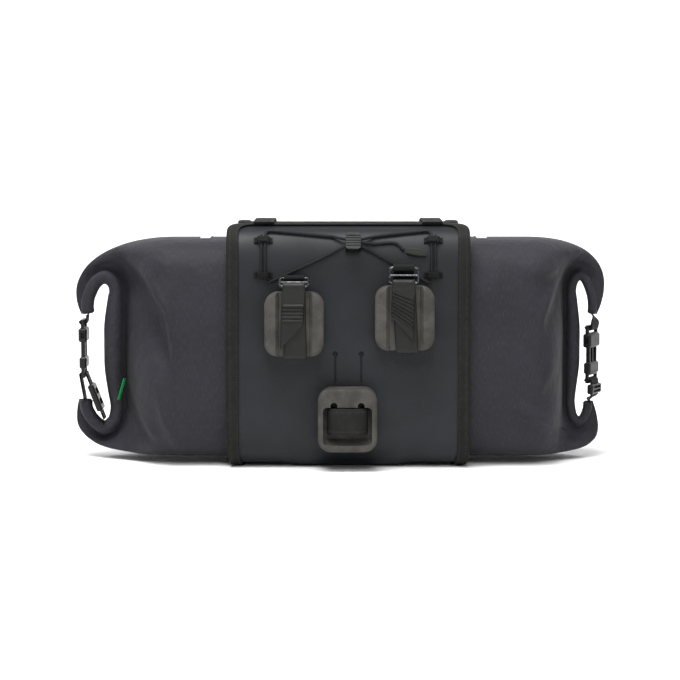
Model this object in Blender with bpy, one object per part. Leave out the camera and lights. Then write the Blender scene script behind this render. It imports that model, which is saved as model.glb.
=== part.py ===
"""A double-ended roll-top handlebar bag in a wrap-round harness, in metres.

The bag lies along X. Its back, which faces the handlebar, looks along -Y, its top is +Z,
and the floor that it rests on is Z = 0. The origin is under the middle of the harness.
"""

import math

import bmesh
import bpy
import numpy as np

# Gap between pieces that touch
TOUCH = 0.0003

# Bag body where the harness holds it, from its own centre
BODY_HALF_HEIGHT = 0.1085
BODY_BACK_DEPTH = 0.080
BODY_FRONT_DEPTH = 0.088
BODY_BACK_POWER = 7.0
BODY_FRONT_POWER = 2.7
BODY_FLAT_SHARE = 0.985

# Bag body beside the harness, up to where its ends close
END_HALF_HEIGHT = 0.1015
END_BACK_DEPTH = 0.076
END_FRONT_DEPTH = 0.084
END_BACK_POWER = 4.2
END_FRONT_POWER = 2.6
END_DROP = 0.0035
BODY_HOLD_X = 0.084
END_START_X = 0.1125
FOLD_START_X = 0.140
BODY_LEFT_X = -0.162
BODY_RIGHT_X = 0.168

# Bag fabric
FABRIC_WALL = 0.0010
MOUTH_HALF_GAP = 0.0004

# Rolled ends: the flat mouth is rolled up and bent round into a loop
ROLL_PITCH = 0.0033
ROLL_SIDES = 8
LEFT_ROLL_X = -0.2100
LEFT_ROLL_RADIUS = 0.0090
LEFT_ROLL_TURNS = 1.25
RIGHT_ROLL_X = 0.2040
RIGHT_ROLL_RADIUS = 0.0064
RIGHT_ROLL_TURNS = 0.75
ROLL_SPAN = 0.080
LEFT_LOOP_REACH = 0.0420
RIGHT_LOOP_REACH = 0.0310
ARM_SHRINK = 0.30
SHRINK_FROM = 0.10
SHRINK_TO = 0.48

# How far the fabric runs on before it turns: at the body and at the roll, in the middle and at
# the folded ears
LEAVE_STRAIGHT = 0.110
LEAVE_EAR = 0.100
ARRIVE_STRAIGHT = 0.020
ARRIVE_EAR = 0.090
EAR_LEAN = 70
EAR_FROM = 0.62

# Path of a roll, from where it leaves the straight to its tip.
# Columns: out, as a share of the loop's reach; up, as a share of the roll's span.
UPPER_ARM = [(0.00, 0.50), (0.00, 0.66), (0.13, 0.81), (0.42, 0.89), (0.72, 0.81), (0.92, 0.63),
             (0.98, 0.47), (0.96, 0.36)]
LEFT_LOWER_ARM = [(0.00, -0.50), (0.00, -0.75), (0.12, -0.95), (0.46, -1.06), (0.80, -0.95),
                  (1.00, -0.78), (1.03, -0.64)]
RIGHT_LOWER_ARM = [(0.00, -0.50), (0.00, -0.69), (0.10, -0.87), (0.38, -0.97), (0.68, -0.91),
                   (0.84, -0.77), (0.86, -0.66)]

# Soft folds pressed into the bag's back face beside each end.
# Columns: how far from the harness edge to the roll and how high on the body each end of the fold
# lies, as shares; depth and half width in metres.
LEFT_FOLDS = [(0.95, 0.82, 0.45, 0.18, 0.0050, 0.0090), (0.95, -0.55, 0.55, -0.92, 0.0045, 0.0085),
              (0.70, 0.05, 0.40, -0.45, 0.0025, 0.0110)]
RIGHT_FOLDS = [(1.02, 0.78, 0.60, 0.12, 0.0060, 0.0080), (0.98, -0.70, 0.20, -0.45, 0.0035, 0.0110),
               (0.90, -0.90, 0.45, -0.70, 0.0025, 0.0080)]

# Harness sheet, wrapped round the bag from its top edge down the back and up the front
HARNESS_HALF_LENGTH = 0.1085
HARNESS_WALL = 0.0025
HARNESS_BACK_EDGE = 0.046
HARNESS_FRONT_EDGE = 0.036
HARNESS_CORNER = 0.024
HARNESS_WAIST = 0.0080
HARNESS_BOTTOM_RISE = 0.0024
RISE_START_X = 0.040
RISE_END_X = 0.062

# Edge binding: a folded tape round all four edges of the harness
BINDING_WIDTH = 0.0090
BINDING_WALL = 0.0012
BINDING_STAND = 0.0009

# Keyhole slits in the back of the harness
SLIT_X = 0.0118
SLIT_TOP_Z = 0.1050
SLIT_BOTTOM_Z = 0.0777
SLIT_WIDTH = 0.0016
SLIT_EYE_RADIUS = 0.0028

# Foam spacer blocks
BLOCK_DEPTH = 0.025
BLOCK_HALF_WIDTH = 0.0268
BLOCK_HALF_HEIGHT = 0.0288
BLOCK_CORNER = 0.012
BLOCK_EDGE = 0.0035
LEFT_BLOCK = (-0.0487, 0.1334)
RIGHT_BLOCK = (0.0507, 0.1388)
LOWER_BLOCK = (-0.0007, 0.0468)
CHANNEL_HALF_WIDTH = 0.0135
CHANNEL_DEPTH = 0.0062
WINDOW_HALF_WIDTH = 0.0220
WINDOW_TOP = 0.0120
WINDOW_BOTTOM = 0.0225
WINDOW_DEPTH = 0.0130
FLOOR_SLIT_X = 0.0140
WINDOW_CORNER = 0.0035
WINDOW_LIP = 0.0050

# Handlebar straps and the head-tube strap
STRAP_WIDTH = 0.0205
STRAP_WALL = 0.0022
STRAP_RIB_PITCH = 0.0034
STRAP_RIB_HEIGHT = 0.0010
TUBE_STRAP_WIDTH = 0.0240
TUBE_STRAP_WALL = 0.0018

LEFT_STRAP_TOP = 0.1715
RIGHT_STRAP_TOP = 0.1745
LEFT_STRAP_END = 0.1224
RIGHT_STRAP_END = 0.1299
LEFT_STRAP_SLANT = -0.0109
RIGHT_STRAP_SLANT = 0.0113
STRAP_TURN = 0.0022

# Metal loops that the handlebar straps are folded over, and their webbing tabs
LOOP_BAR_RADIUS = 0.0012
LOOP_HALF_WIDTH = 0.0128
LOOP_HEIGHT = 0.0140
LOOP_CORNER = 0.0024
LOOP_TAB_HALF_WIDTH = 0.0095

# Elastic cord and what guides it
CORD_RADIUS = 0.0014
STRAND_GAP = 0.0036
GUIDE_X = 0.0770
UPPER_GUIDE_Z = 0.2058
LOWER_GUIDE_Z = 0.1775
GUIDE_HALF_LENGTH = 0.0085
GUIDE_TUNNEL = 0.0042
GUIDE_WIDTH = 0.0055
LOCK_X = 0.0045
LOCK_Z = 0.2030
LOCK_STRAND = 0.0034
LOCK_HALF_LENGTH = 0.0070
LOCK_HALF_HEIGHT = 0.0080
LOCK_DEPTH = 0.0095
LOCK_STAND = 0.0009
LOCK_CORD_RISE = 0.0028
LOCK_CLEARANCE = 0.0009

# Tab on the free end of the cord
TAB_X = 0.0525
TAB_Z = 0.1975
TAB_LEAN = -8
TAB_LENGTH = 0.0185
TAB_HALF_HEIGHT = 0.0038
TAB_DEPTH = 0.0026

# Closing straps of the harness
CLOSING_WIDTH = 0.0190
CLOSING_WALL = 0.0018
CLOSING_BUCKLE_Z = 0.1150
CLOSING_STRAP_START = 0.465

# Reflective strips on top and the green tab beside the left roll
PATCH_LEFT_X = -0.1320
PATCH_RIGHT_X = 0.1236
PATCH_WIDTH = 0.0095
PATCH_WALL = 0.0008
PATCH_FRONT_REACH = 0.022
PATCH_BACK_REACH = 0.030
SEAM_TAB_Z = 0.0655
SEAM_TAB_ANGLE = -35
SEAM_TAB_LEAN = 16
SEAM_TAB_WOUND = 0.79

# Side-release buckles of the rolled ends
WEBBING_WIDTH = 0.0200
WEBBING_WALL = 0.0015
ARM_STAND = 0.0007
BUCKLE_WIDTH = 0.0270
BUCKLE_DEPTH = 0.0080
BUCKLE_MOUTH = 0.0210
BUCKLE_WRAP = 0.0032
BAR_LENGTH = 0.0030
BAR_HALF_DEPTH = 0.0016
MALE_TOP = 0.0350
MALE_LENGTH = 0.0195
LEFT_BUCKLE_TOP = (-0.2475, -0.0063, 0.1310)
RIGHT_BUCKLE_TOP = (0.2285, -0.0040, 0.1255)
LEFT_LEG_END = (-0.2285, -0.0063, 0.0372)

HARNESS_LIFT = TOUCH + HARNESS_WALL
CENTRE_Z = BODY_FLAT_SHARE * BODY_HALF_HEIGHT + HARNESS_LIFT
BACK_PLANE = -(BODY_BACK_DEPTH + HARNESS_LIFT)
BLOCK_FACE = BACK_PLANE - TOUCH - BLOCK_DEPTH


def smooth_step(value, low, high):
    """0 below low, 1 above high, with a smooth ramp between."""
    share = np.clip((value - low) / (high - low), 0.0, 1.0)
    return share * share * (3 - 2 * share)


def clear_scene():
    """Empties the file of objects."""
    for obj in list(bpy.data.objects):
        bpy.data.objects.remove(obj)


def material(name, colour, roughness, metallic=0.0):
    """A Principled material, made once for each name."""
    found = bpy.data.materials.get(name)
    if found is None:
        found = bpy.data.materials.new(name)
        found.use_nodes = True
        shader = found.node_tree.nodes["Principled BSDF"]
        shader.inputs["Base Color"].default_value = (*colour, 1.0)
        shader.inputs["Roughness"].default_value = roughness
        shader.inputs["Metallic"].default_value = metallic
    return found


def fabric():
    return material("bag_fabric", (0.045, 0.044, 0.050), 0.75)


def laminate():
    return material("harness_laminate", (0.035, 0.040, 0.048), 0.55)


def binding_tape():
    return material("binding_tape", (0.030, 0.030, 0.027), 0.6)


def foam():
    return material("spacer_foam", (0.115, 0.112, 0.100), 0.85)


def rubber():
    return material("strap_rubber", (0.035, 0.036, 0.032), 0.6)


def webbing():
    return material("webbing", (0.015, 0.015, 0.015), 0.8)


def plastic():
    return material("buckle_plastic", (0.012, 0.012, 0.013), 0.35)


def steel():
    return material("loop_metal", (0.10, 0.10, 0.10), 0.25, 1.0)


def elastic():
    return material("elastic_cord", (0.010, 0.011, 0.014), 0.7)


def add_object(name, shape, look):
    """Puts a bmesh into the scene as a named object with its material."""
    mesh = bpy.data.meshes.new(name)
    shape.to_mesh(mesh)
    shape.free()
    mesh.materials.append(look)
    obj = bpy.data.objects.new(name, mesh)
    bpy.context.scene.collection.objects.link(obj)
    return obj


def skin(rings, closed=False):
    """A bmesh through rings of equally many points. Open ends are capped unless the rings close."""
    shape = bmesh.new()
    verts = [[shape.verts.new(p) for p in ring] for ring in rings]
    pairs = list(zip(verts, verts[1:]))
    if closed:
        pairs.append((verts[-1], verts[0]))
    for a, b in pairs:
        for k in range(len(a)):
            n = (k + 1) % len(a)
            shape.faces.new((a[k], a[n], b[n], b[k]))
    if not closed:
        shape.faces.new(verts[0][::-1])
        shape.faces.new(verts[-1])
    bmesh.ops.recalc_face_normals(shape, faces=shape.faces)
    return shape


def loft(name, rings, look, closed=False):
    """A solid through rings of equally many points."""
    return add_object(name, skin(rings, closed), look)


def round_shaded(obj, degrees=40):
    """Shades the faces smooth except across sharp edges."""
    obj.data.shade_smooth()
    obj.data.set_sharp_from_angle(angle=math.radians(degrees))
    return obj


def bevelled(obj, width, segments=1, degrees=35):
    """Rounds the sharp edges."""
    rounding = obj.modifiers.new("rounding", "BEVEL")
    rounding.width = width
    rounding.segments = segments
    rounding.limit_method = "ANGLE"
    rounding.angle_limit = math.radians(degrees)
    return obj


def cut(obj, cutter):
    """Cuts one solid out of another and hides the cutter."""
    hole = obj.modifiers.new("cut", "BOOLEAN")
    hole.operation = "DIFFERENCE"
    hole.object = cutter
    hide(cutter)
    return obj


def hide(helper):
    """Marks an object as a helper that isn't part of the model."""
    helper.hide_render = True
    helper.display_type = "WIRE"


def box(name, low, high, look):
    """A block between two corners."""
    corners = [(low[0], low[1]), (high[0], low[1]), (high[0], high[1]), (low[0], high[1])]
    return loft(name, [[(x, y, z) for x, y in corners] for z in (low[2], high[2])], look)


def rounded_rectangle(half_width, half_height, corner, steps=4):
    """Outline points of a rectangle with round corners."""
    points = []
    for quarter, (sx, sy) in enumerate([(1, 1), (-1, 1), (-1, -1), (1, -1)]):
        for k in range(steps + 1):
            angle = math.pi / 2 * (quarter + k / steps)
            points.append((sx * (half_width - corner) + corner * math.cos(angle),
                           sy * (half_height - corner) + corner * math.sin(angle)))
    return points


def section_outline(half_height, back, front, back_power, front_power, steps=360):
    """Closed outline (Y, Z) round one section: from the top, down the back, up the front."""
    turn = np.linspace(0.0, 2 * math.pi, 2 * steps + 1)
    side, up = -np.sin(turn), np.cos(turn)
    behind = turn < math.pi
    power = np.where(behind, back_power, front_power)
    depth = np.where(behind, back, front)
    y = np.sign(side) * depth * np.abs(side) ** (2 / power)
    z = np.sign(up) * half_height * np.abs(up) ** (2 / power)
    return y, np.maximum(z, -BODY_FLAT_SHARE * half_height)


def half_shares(steps=14, crowding=0.060):
    """Shares of half the girth: crowded at the corners, with one close to each side fold."""
    even = np.linspace(0, 1, steps, endpoint=False)
    shares = even + crowding * np.sin(4 * math.pi * even)
    return np.concatenate([[0.0, 0.013], shares[1:], [0.987]])


def girth_shares():
    """Shares of the whole girth that every wrapped piece has its corners at."""
    half = half_shares()
    return np.concatenate([half * 0.5, 0.5 + half * 0.5])


class Girth:
    """The bag's outside at one section, as a polygon that pieces lie on."""

    def __init__(self, outline, centre_z, rises):
        shares = girth_shares()
        y, z = self.along(outline, shares)
        self.shares = np.append(shares, 1.0)
        self.y, self.z = np.append(y, y[0]), np.append(z, z[0])
        dy, dz = np.roll(y, -1) - np.roll(y, 1), np.roll(z, -1) - np.roll(z, 1)
        size = np.hypot(dy, dz)
        out_y, out_z = dz / size, -dy / size
        self.out_y, self.out_z = np.append(out_y, out_y[0]), np.append(out_z, out_z[0])
        self.centre_z = centre_z
        self.rises = rises
        self.half_height = z.max()
        sides = np.hypot(np.diff(self.y), np.diff(self.z))
        self.length = sides.sum()
        self.reach = np.concatenate([[0], np.cumsum(sides)]) / self.length

    @staticmethod
    def along(outline, shares):
        """Points at these shares of each half's length: 0 to 0.5 down the back, then up the front."""
        y, z = outline
        half = (len(y) - 1) // 2
        found = np.zeros((2, len(shares)))
        for start, picked in ((0, shares <= 0.5), (half, shares > 0.5)):
            part_y, part_z = y[start:start + half + 1], z[start:start + half + 1]
            sides = np.hypot(np.diff(part_y), np.diff(part_z))
            reach = np.concatenate([[0], np.cumsum(sides)])
            wanted = (shares[picked] - (0.5 if start else 0.0)) * 2 * reach[-1]
            found[0, picked] = np.interp(wanted, reach, part_y)
            found[1, picked] = np.interp(wanted, reach, part_z)
        return found

    def point(self, x, share, lift):
        """The point at this share of the girth, lift away from the bag, straight between corners."""
        share = share % 1.0
        y = np.interp(share, self.shares, self.y)
        z = np.interp(share, self.shares, self.z)
        out_y = np.interp(share, self.shares, self.out_y)
        out_z = np.interp(share, self.shares, self.out_z)
        rise = 0.0
        if self.rises:
            low = smooth_step(-z / self.half_height, 0.60, 0.95)
            rise = HARNESS_BOTTOM_RISE * smooth_step(abs(x), RISE_START_X, RISE_END_X) * low
        return (x, float(y + lift * out_y), float(self.centre_z + z + lift * out_z + rise))

    def share_at(self, height):
        """The share down the back at this height."""
        back = self.shares <= 0.5
        return float(np.interp(-height, -(self.centre_z + self.z[back]), self.shares[back]))

    def share_of(self, distance):
        """The share at this distance round from the top."""
        return float(np.interp(distance / self.length % 1.0, self.reach, self.shares))

    def corners_between(self, start, end):
        """The start, every corner of the polygon between, and the end, in shares past 1 or below 0."""
        every = np.concatenate([self.shares[:-1] - 1, self.shares[:-1], self.shares[:-1] + 1])
        inside = every[(every > start + 1e-3) & (every < end - 1e-3)]
        return [start, *inside, end]


def body_girth():
    outline = section_outline(BODY_HALF_HEIGHT, BODY_BACK_DEPTH, BODY_FRONT_DEPTH, BODY_BACK_POWER,
                              BODY_FRONT_POWER)
    return Girth(outline, CENTRE_Z, True)


def end_girth():
    outline = section_outline(END_HALF_HEIGHT, END_BACK_DEPTH, END_FRONT_DEPTH, END_BACK_POWER,
                              END_FRONT_POWER)
    return Girth(outline, CENTRE_Z - END_DROP, False)


BODY = body_girth()
END = end_girth()


def spline(knots, steps):
    """A smooth curve through every knot."""
    knots = np.asarray(knots, float)
    padded = np.vstack([2 * knots[0] - knots[1], knots, 2 * knots[-1] - knots[-2]])
    share = np.linspace(0, 1, steps, endpoint=False)[:, None]
    rows = []
    for a, b, c, d in zip(padded, padded[1:], padded[2:], padded[3:]):
        rows.append(0.5 * (2 * b + (c - a) * share + (2 * a - 5 * b + 4 * c - d) * share**2
                           + (3 * b - a - 3 * c + d) * share**3))
    return np.vstack([*rows, knots[-1:]])


class Spine:
    """Path of a rolled end in the X-Z plane, measured up and down from its middle."""

    def __init__(self, root_x, outward, loop_reach, lower_arm):
        def placed(table):
            return [(root_x + outward * loop_reach * out, END.centre_z + ROLL_SPAN * up)
                    for out, up in table]

        self.outward = outward
        self.root_x = root_x
        upper = spline([(root_x, END.centre_z)] + placed(UPPER_ARM), 16)
        lower = spline([(root_x, END.centre_z)] + placed(lower_arm), 16)
        path = np.vstack([upper[::-1], lower[1:]])
        reach = np.concatenate([[0], np.cumsum(np.linalg.norm(np.diff(path, axis=0), axis=1))])
        self.path, self.reach = path, reach
        self.upper_length = reach[len(upper) - 1]
        self.lower_length = reach[-1] - self.upper_length

    def where(self, height):
        """Points at these distances up the path from its middle."""
        along = self.upper_length - np.asarray(height, float)
        return np.stack([np.interp(along, self.reach, self.path[:, k]) for k in (0, 1)], -1)

    def frame(self, height, step=0.003):
        """Points, directions up the path, and directions into the loop."""
        up = self.where(height + step) - self.where(height - step)
        ends = np.linalg.norm(up, axis=-1, keepdims=True)
        up = up / ends
        inward = np.stack([-up[..., 1], up[..., 0]], -1) * -self.outward
        return self.where(height), up, inward


LEFT_SPINE = Spine(LEFT_ROLL_X, -1, LEFT_LOOP_REACH, LEFT_LOWER_ARM)
RIGHT_SPINE = Spine(RIGHT_ROLL_X, 1, RIGHT_LOOP_REACH, RIGHT_LOWER_ARM)


def fold_depth(point, body_x, root_x, folds):
    """How deep the soft folds press a point of the back face inwards."""
    edge_x = math.copysign(HARNESS_HALF_LENGTH, body_x)
    depth = 0.0
    for out_a, up_a, out_b, up_b, deep, wide in folds:
        a = np.array([edge_x + (root_x - edge_x) * out_a, END.centre_z + END_HALF_HEIGHT * up_a])
        b = np.array([edge_x + (root_x - edge_x) * out_b, END.centre_z + END_HALF_HEIGHT * up_b])
        here = np.array([point[0], point[2]])
        share = float(np.clip(np.dot(here - a, b - a) / np.dot(b - a, b - a), 0, 1))
        away = np.linalg.norm(here - (a + share * (b - a)))
        fade = 1 - 0.55 * share
        depth += deep * fade * math.exp(-(away / wide) ** 2)
    return depth


def end_rings(spine, body_x, roll_radius, turns, folds):
    """Rings from the round body to the rolled mouth of one end."""
    outward = spine.outward
    root_x = spine.root_x
    shares = girth_shares()
    front = shares > 0.5
    start = np.array([END.point(body_x, share, 0.0) for share in shares])
    down = np.where(front, 2 - 2 * shares, 2 * shares)
    length = np.where(down < 0.5, spine.upper_length, spine.lower_length)
    height = (1 - 2 * down) * length
    point, up, inward = spine.frame(height)
    at_fold = (shares == 0.0) | (shares == 0.5)
    half_layer = FABRIC_WALL + MOUTH_HALF_GAP
    layer = np.where(at_fold, 0.0, np.where(front, half_layer, -half_layer))

    def beyond(across, y):
        """The ring that lies across into the loop from the spine, at this Y."""
        flat = point + inward * np.reshape(across, (-1, 1))
        return np.column_stack([flat[:, 0], y, flat[:, 1]])

    tipwards = np.abs(height) / length
    bend = smooth_step(tipwards, EAR_FROM, 1.0)
    lean = math.radians(EAR_LEAN) * bend
    aim = inward * np.cos(lean)[:, None] + up * (np.sign(height) * np.sin(lean))[:, None]
    leave = np.zeros_like(start)
    leave[:, 0] = outward * (LEAVE_STRAIGHT + LEAVE_EAR * bend)
    arrive = np.column_stack([aim[:, 0], 0 * layer, aim[:, 1]])
    arrive *= (ARRIVE_STRAIGHT + ARRIVE_EAR * bend)[:, None]
    goal = beyond(0.0, layer)
    rings = []
    for t in (0.0, 0.19, 0.38, 0.56, 0.73, 0.87, 1.0):
        ring = ((2 * t**3 - 3 * t**2 + 1) * start + (t**3 - 2 * t**2 + t) * leave
                + (3 * t**2 - 2 * t**3) * goal + (t**3 - t**2) * arrive)
        weight = smooth_step(1 - t, 0.0, 0.35) * np.abs(ring[:, 1]) / END_BACK_DEPTH
        for k in np.flatnonzero(~front & ~at_fold):
            ring[k, 1] += fold_depth(ring[k], body_x, root_x, folds) * min(1.0, weight[k])
        rings.append(ring)
    radius = roll_radius * (1 - ARM_SHRINK * smooth_step(tipwards, SHRINK_FROM, SHRINK_TO))
    rings.append(beyond(radius * 0.5, layer))
    rings.append(beyond(radius, layer))
    for k in range(1, round(turns * ROLL_SIDES) + 1):
        angle = 2 * math.pi * k / ROLL_SIDES
        spiral = radius - ROLL_PITCH * k / ROLL_SIDES + layer
        rings.append(beyond(radius + spiral * math.sin(angle), -radius + spiral * math.cos(angle)))
    return rings


def body_rings(body_x, folds, root_x):
    """Rings of the bag from the middle of the harness to where one end starts to close."""
    side = math.copysign(1, body_x)
    shares = girth_shares()
    rings = []
    for x in (RISE_START_X, RISE_END_X, BODY_HOLD_X):
        rings.append(np.array([BODY.point(side * x, share, 0.0) for share in shares]))
    for x in (END_START_X, FOLD_START_X):
        ring = np.array([END.point(side * x, share, 0.0) for share in shares])
        for k in np.flatnonzero(shares < 0.5):
            weight = max(0.0, -ring[k, 1]) / END_BACK_DEPTH
            ring[k, 1] += fold_depth(ring[k], body_x, root_x, folds) * weight
        rings.append(ring)
    return rings


def bag_shell():
    """The bag: one tube of coated fabric with both mouths flattened, rolled up and bent round."""
    left = body_rings(BODY_LEFT_X, LEFT_FOLDS, LEFT_ROLL_X) + end_rings(
        LEFT_SPINE, BODY_LEFT_X, LEFT_ROLL_RADIUS, LEFT_ROLL_TURNS, LEFT_FOLDS)
    right = body_rings(BODY_RIGHT_X, RIGHT_FOLDS, RIGHT_ROLL_X) + end_rings(
        RIGHT_SPINE, BODY_RIGHT_X, RIGHT_ROLL_RADIUS, RIGHT_ROLL_TURNS, RIGHT_FOLDS)
    shape = bmesh.new()
    verts = [[shape.verts.new(p) for p in ring] for ring in left[::-1] + right]
    for a, b in zip(verts, verts[1:]):
        for k in range(len(a)):
            n = (k + 1) % len(a)
            shape.faces.new((a[k], a[n], b[n], b[k]))
    shell = add_object("bag_shell", shape, fabric())
    wall = shell.modifiers.new("wall", "SOLIDIFY")
    wall.thickness = FABRIC_WALL
    wall.offset = -1
    return shell


def harness_half_length(distance, total):
    """Half length of the harness sheet at this distance from its edge on the back."""
    to_edge = max(0.0, min(distance, total - distance))
    waist = HARNESS_WAIST * float(smooth_step(distance / total, 0.33, 0.42))
    cut_back = 0.0
    if to_edge < HARNESS_CORNER:
        cut_back = HARNESS_CORNER - math.sqrt(HARNESS_CORNER**2 - (HARNESS_CORNER - to_edge) ** 2)
    return HARNESS_HALF_LENGTH - waist - cut_back


def harness_span():
    """Distances round the girth of the sheet's two edges, from the top."""
    return HARNESS_BACK_EDGE, BODY.length + HARNESS_FRONT_EDGE


def girth_share(distance):
    """Share of the girth at this distance from the top, past 1 where it goes round again."""
    return math.floor(distance / BODY.length) + BODY.share_of(distance)


def girth_distance(share):
    """Distance from the top at this share of the girth."""
    turns = math.floor(share)
    return (turns + float(np.interp(share - turns, BODY.shares, BODY.reach))) * BODY.length


def harness_wrap():
    """The stiff laminate sheet round the middle of the bag."""
    first, last = harness_span()
    start, end = girth_share(first), girth_share(last)
    stations = BODY.corners_between(start, end)
    extra = [girth_share(first + HARNESS_CORNER * k) for k in (0.06, 0.22, 0.5)]
    extra += [girth_share(last - HARNESS_CORNER * k) for k in (0.06, 0.22, 0.5)]
    rings = []
    for share in sorted([*stations, *extra]):
        half = harness_half_length(girth_distance(share) - first, last - first)
        xs = [-half, -RISE_END_X, -RISE_START_X, RISE_START_X, RISE_END_X, half]
        inner = [BODY.point(x, share, TOUCH) for x in xs]
        outer = [BODY.point(x, share, HARNESS_LIFT) for x in xs[::-1]]
        rings.append(inner + outer)
    sheet = loft("harness_wrap", rings, laminate())
    for side, label in ((-1, "left"), (1, "right")):
        x = side * SLIT_X
        near, far = BACK_PLANE - 0.004, BACK_PLANE + HARNESS_WALL + 0.004
        slit = box(f"slit_cutter_{label}", (x - SLIT_WIDTH / 2, near, SLIT_BOTTOM_Z),
                   (x + SLIT_WIDTH / 2, far, SLIT_TOP_Z), laminate())
        eye = [[(x + SLIT_EYE_RADIUS * math.cos(a), y, SLIT_TOP_Z + SLIT_EYE_RADIUS * math.sin(a))
                for a in np.linspace(0, 2 * math.pi, 10, endpoint=False)] for y in (near, far)]
        cut(cut(sheet, slit), loft(f"eye_cutter_{label}", eye, laminate()))
    return sheet


def edge_binding():
    """The tape folded over the harness edge all the way round: its outer leaf and its edge."""
    first, last = harness_span()
    total = last - first
    distances = sorted({*(girth_distance(s) - first
                          for s in BODY.corners_between(girth_share(first), girth_share(last))),
                        *(HARNESS_CORNER * k for k in (0.06, 0.22, 0.5)),
                        *(total - HARNESS_CORNER * k for k in (0.06, 0.22, 0.5))})
    right = [(harness_half_length(d, total), d) for d in distances]
    loop = np.array(right + [(-x, d) for x, d in reversed(right)])
    ahead, behind = np.roll(loop, -1, axis=0), np.roll(loop, 1, axis=0)
    first_leg = (loop - behind) / np.linalg.norm(loop - behind, axis=1)[:, None]
    next_leg = (ahead - loop) / np.linalg.norm(ahead - loop, axis=1)[:, None]
    normal = np.stack([(first_leg + next_leg)[:, 1], -(first_leg + next_leg)[:, 0]], 1)
    normal /= np.linalg.norm(normal, axis=1)[:, None]
    gentle = np.abs(normal[:, 1]) < 0.35
    normal[gentle] = np.column_stack([np.sign(normal[gentle, 0]), np.zeros(gentle.sum())])
    widen = 1 / np.maximum(0.5, np.abs(normal[:, 0] * next_leg[:, 1] - normal[:, 1] * next_leg[:, 0]))
    inner_lift = HARNESS_LIFT + BINDING_STAND
    outer_lift = inner_lift + BINDING_WALL
    near, far = 3 * TOUCH, 3 * TOUCH + BINDING_WALL
    profile = [(-BINDING_WIDTH, inner_lift), (near, inner_lift), (near, TOUCH), (far, TOUCH),
               (far, outer_lift), (-BINDING_WIDTH, outer_lift)]
    rings = []
    for (x, distance), (nx, nd), wide in zip(loop, normal, widen):
        ring = []
        for across, lift in profile:
            share = girth_share(first + distance + nd * across * wide)
            ring.append(BODY.point(x + nx * across * wide, share, lift))
        rings.append(ring)
    return loft("edge_binding", rings, binding_tape(), closed=True)


def block_outline(centre, inset):
    """Outline of a spacer block, inset by this much."""
    outline = rounded_rectangle(BLOCK_HALF_WIDTH - inset, BLOCK_HALF_HEIGHT - inset,
                                BLOCK_CORNER - inset)
    return [(centre[0] + x, centre[1] + z) for x, z in outline]


def spacer_block(name, centre):
    """A foam block with a soft front edge, standing on the back of the harness."""
    levels = [(BLOCK_EDGE / 3, BACK_PLANE - TOUCH), (0.0, BACK_PLANE - TOUCH - BLOCK_EDGE / 3)]
    for k in range(4):
        angle = math.pi / 2 * k / 3
        levels.append((BLOCK_EDGE * (1 - math.cos(angle)),
                       BLOCK_FACE + BLOCK_EDGE * (1 - math.sin(angle))))
    rings = [[(x, y, z) for x, z in block_outline(centre, inset)] for inset, y in levels]
    return loft(name, rings, foam())


def upper_block(name, centre):
    """A handlebar spacer with a channel for its strap."""
    block = spacer_block(name, centre)
    deep = BLOCK_FACE + CHANNEL_DEPTH
    across = [(-CHANNEL_HALF_WIDTH - 0.0030, BLOCK_FACE - 0.004),
              (-CHANNEL_HALF_WIDTH - 0.0030, BLOCK_FACE + 0.0002), (-CHANNEL_HALF_WIDTH, deep),
              (CHANNEL_HALF_WIDTH, deep), (CHANNEL_HALF_WIDTH + 0.0030, BLOCK_FACE + 0.0002),
              (CHANNEL_HALF_WIDTH + 0.0030, BLOCK_FACE - 0.004)]
    reach = BLOCK_HALF_HEIGHT + 0.005
    rings = [[(centre[0] + x, y, centre[1] + z) for x, y in across] for z in (-reach, reach)]
    return cut(block, loft(f"{name}_channel", rings, foam()))


def lower_block():
    """The head-tube spacer: a window in its face with two slits in the floor of it."""
    block = spacer_block("spacer_block_lower", LOWER_BLOCK)
    middle = LOWER_BLOCK[1] + (WINDOW_TOP - WINDOW_BOTTOM) / 2
    half_height = (WINDOW_TOP + WINDOW_BOTTOM) / 2
    floor = BLOCK_FACE + WINDOW_DEPTH
    rings = []
    for y, lip in ((BLOCK_FACE - 0.004, 0.0), (BLOCK_FACE + 0.004, 0.0), (floor, WINDOW_LIP)):
        outline = rounded_rectangle(WINDOW_HALF_WIDTH, half_height - lip / 2, WINDOW_CORNER, steps=2)
        rings.append([(LOWER_BLOCK[0] + x, y, middle + lip / 2 + z) for x, z in outline])
    cut(block, loft("window_cutter", rings, foam()))
    for side in (-1, 1):
        x = LOWER_BLOCK[0] + side * FLOOR_SLIT_X
        half_slit = TUBE_STRAP_WALL / 2 + 0.0008
        low = LOWER_BLOCK[1] + WINDOW_TOP - TUBE_STRAP_WIDTH - 0.0010
        cut(block, box(f"floor_slit_cutter_{side}", (x - half_slit, floor - 0.002, low),
                       (x + half_slit, BACK_PLANE + 0.004, LOWER_BLOCK[1] + WINDOW_TOP - 0.0004),
                       foam()))
    return block


def band(name, path, widths, thickness, look, ribs=0.0):
    """A strap whose middle line follows path.

    path holds points, widths the half-width vectors (which may slant), and thickness is split to
    both sides. ribs is added on the side that along x width points to.
    """
    path, widths = np.asarray(path, float), np.asarray(widths, float)
    along = np.gradient(path, axis=0)
    along /= np.linalg.norm(along, axis=1)[:, None]
    normal = np.cross(along, widths)
    normal /= np.linalg.norm(normal, axis=1)[:, None]
    half = thickness / 2
    raised = np.broadcast_to(np.asarray(ribs, float), len(path))
    rings = []
    for point, wide, out, rib in zip(path, widths, normal, raised):
        rings.append([point + wide - out * half, point + wide + out * (half + rib),
                      point - wide + out * (half + rib), point - wide - out * half])
    return loft(name, rings, look)


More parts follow.
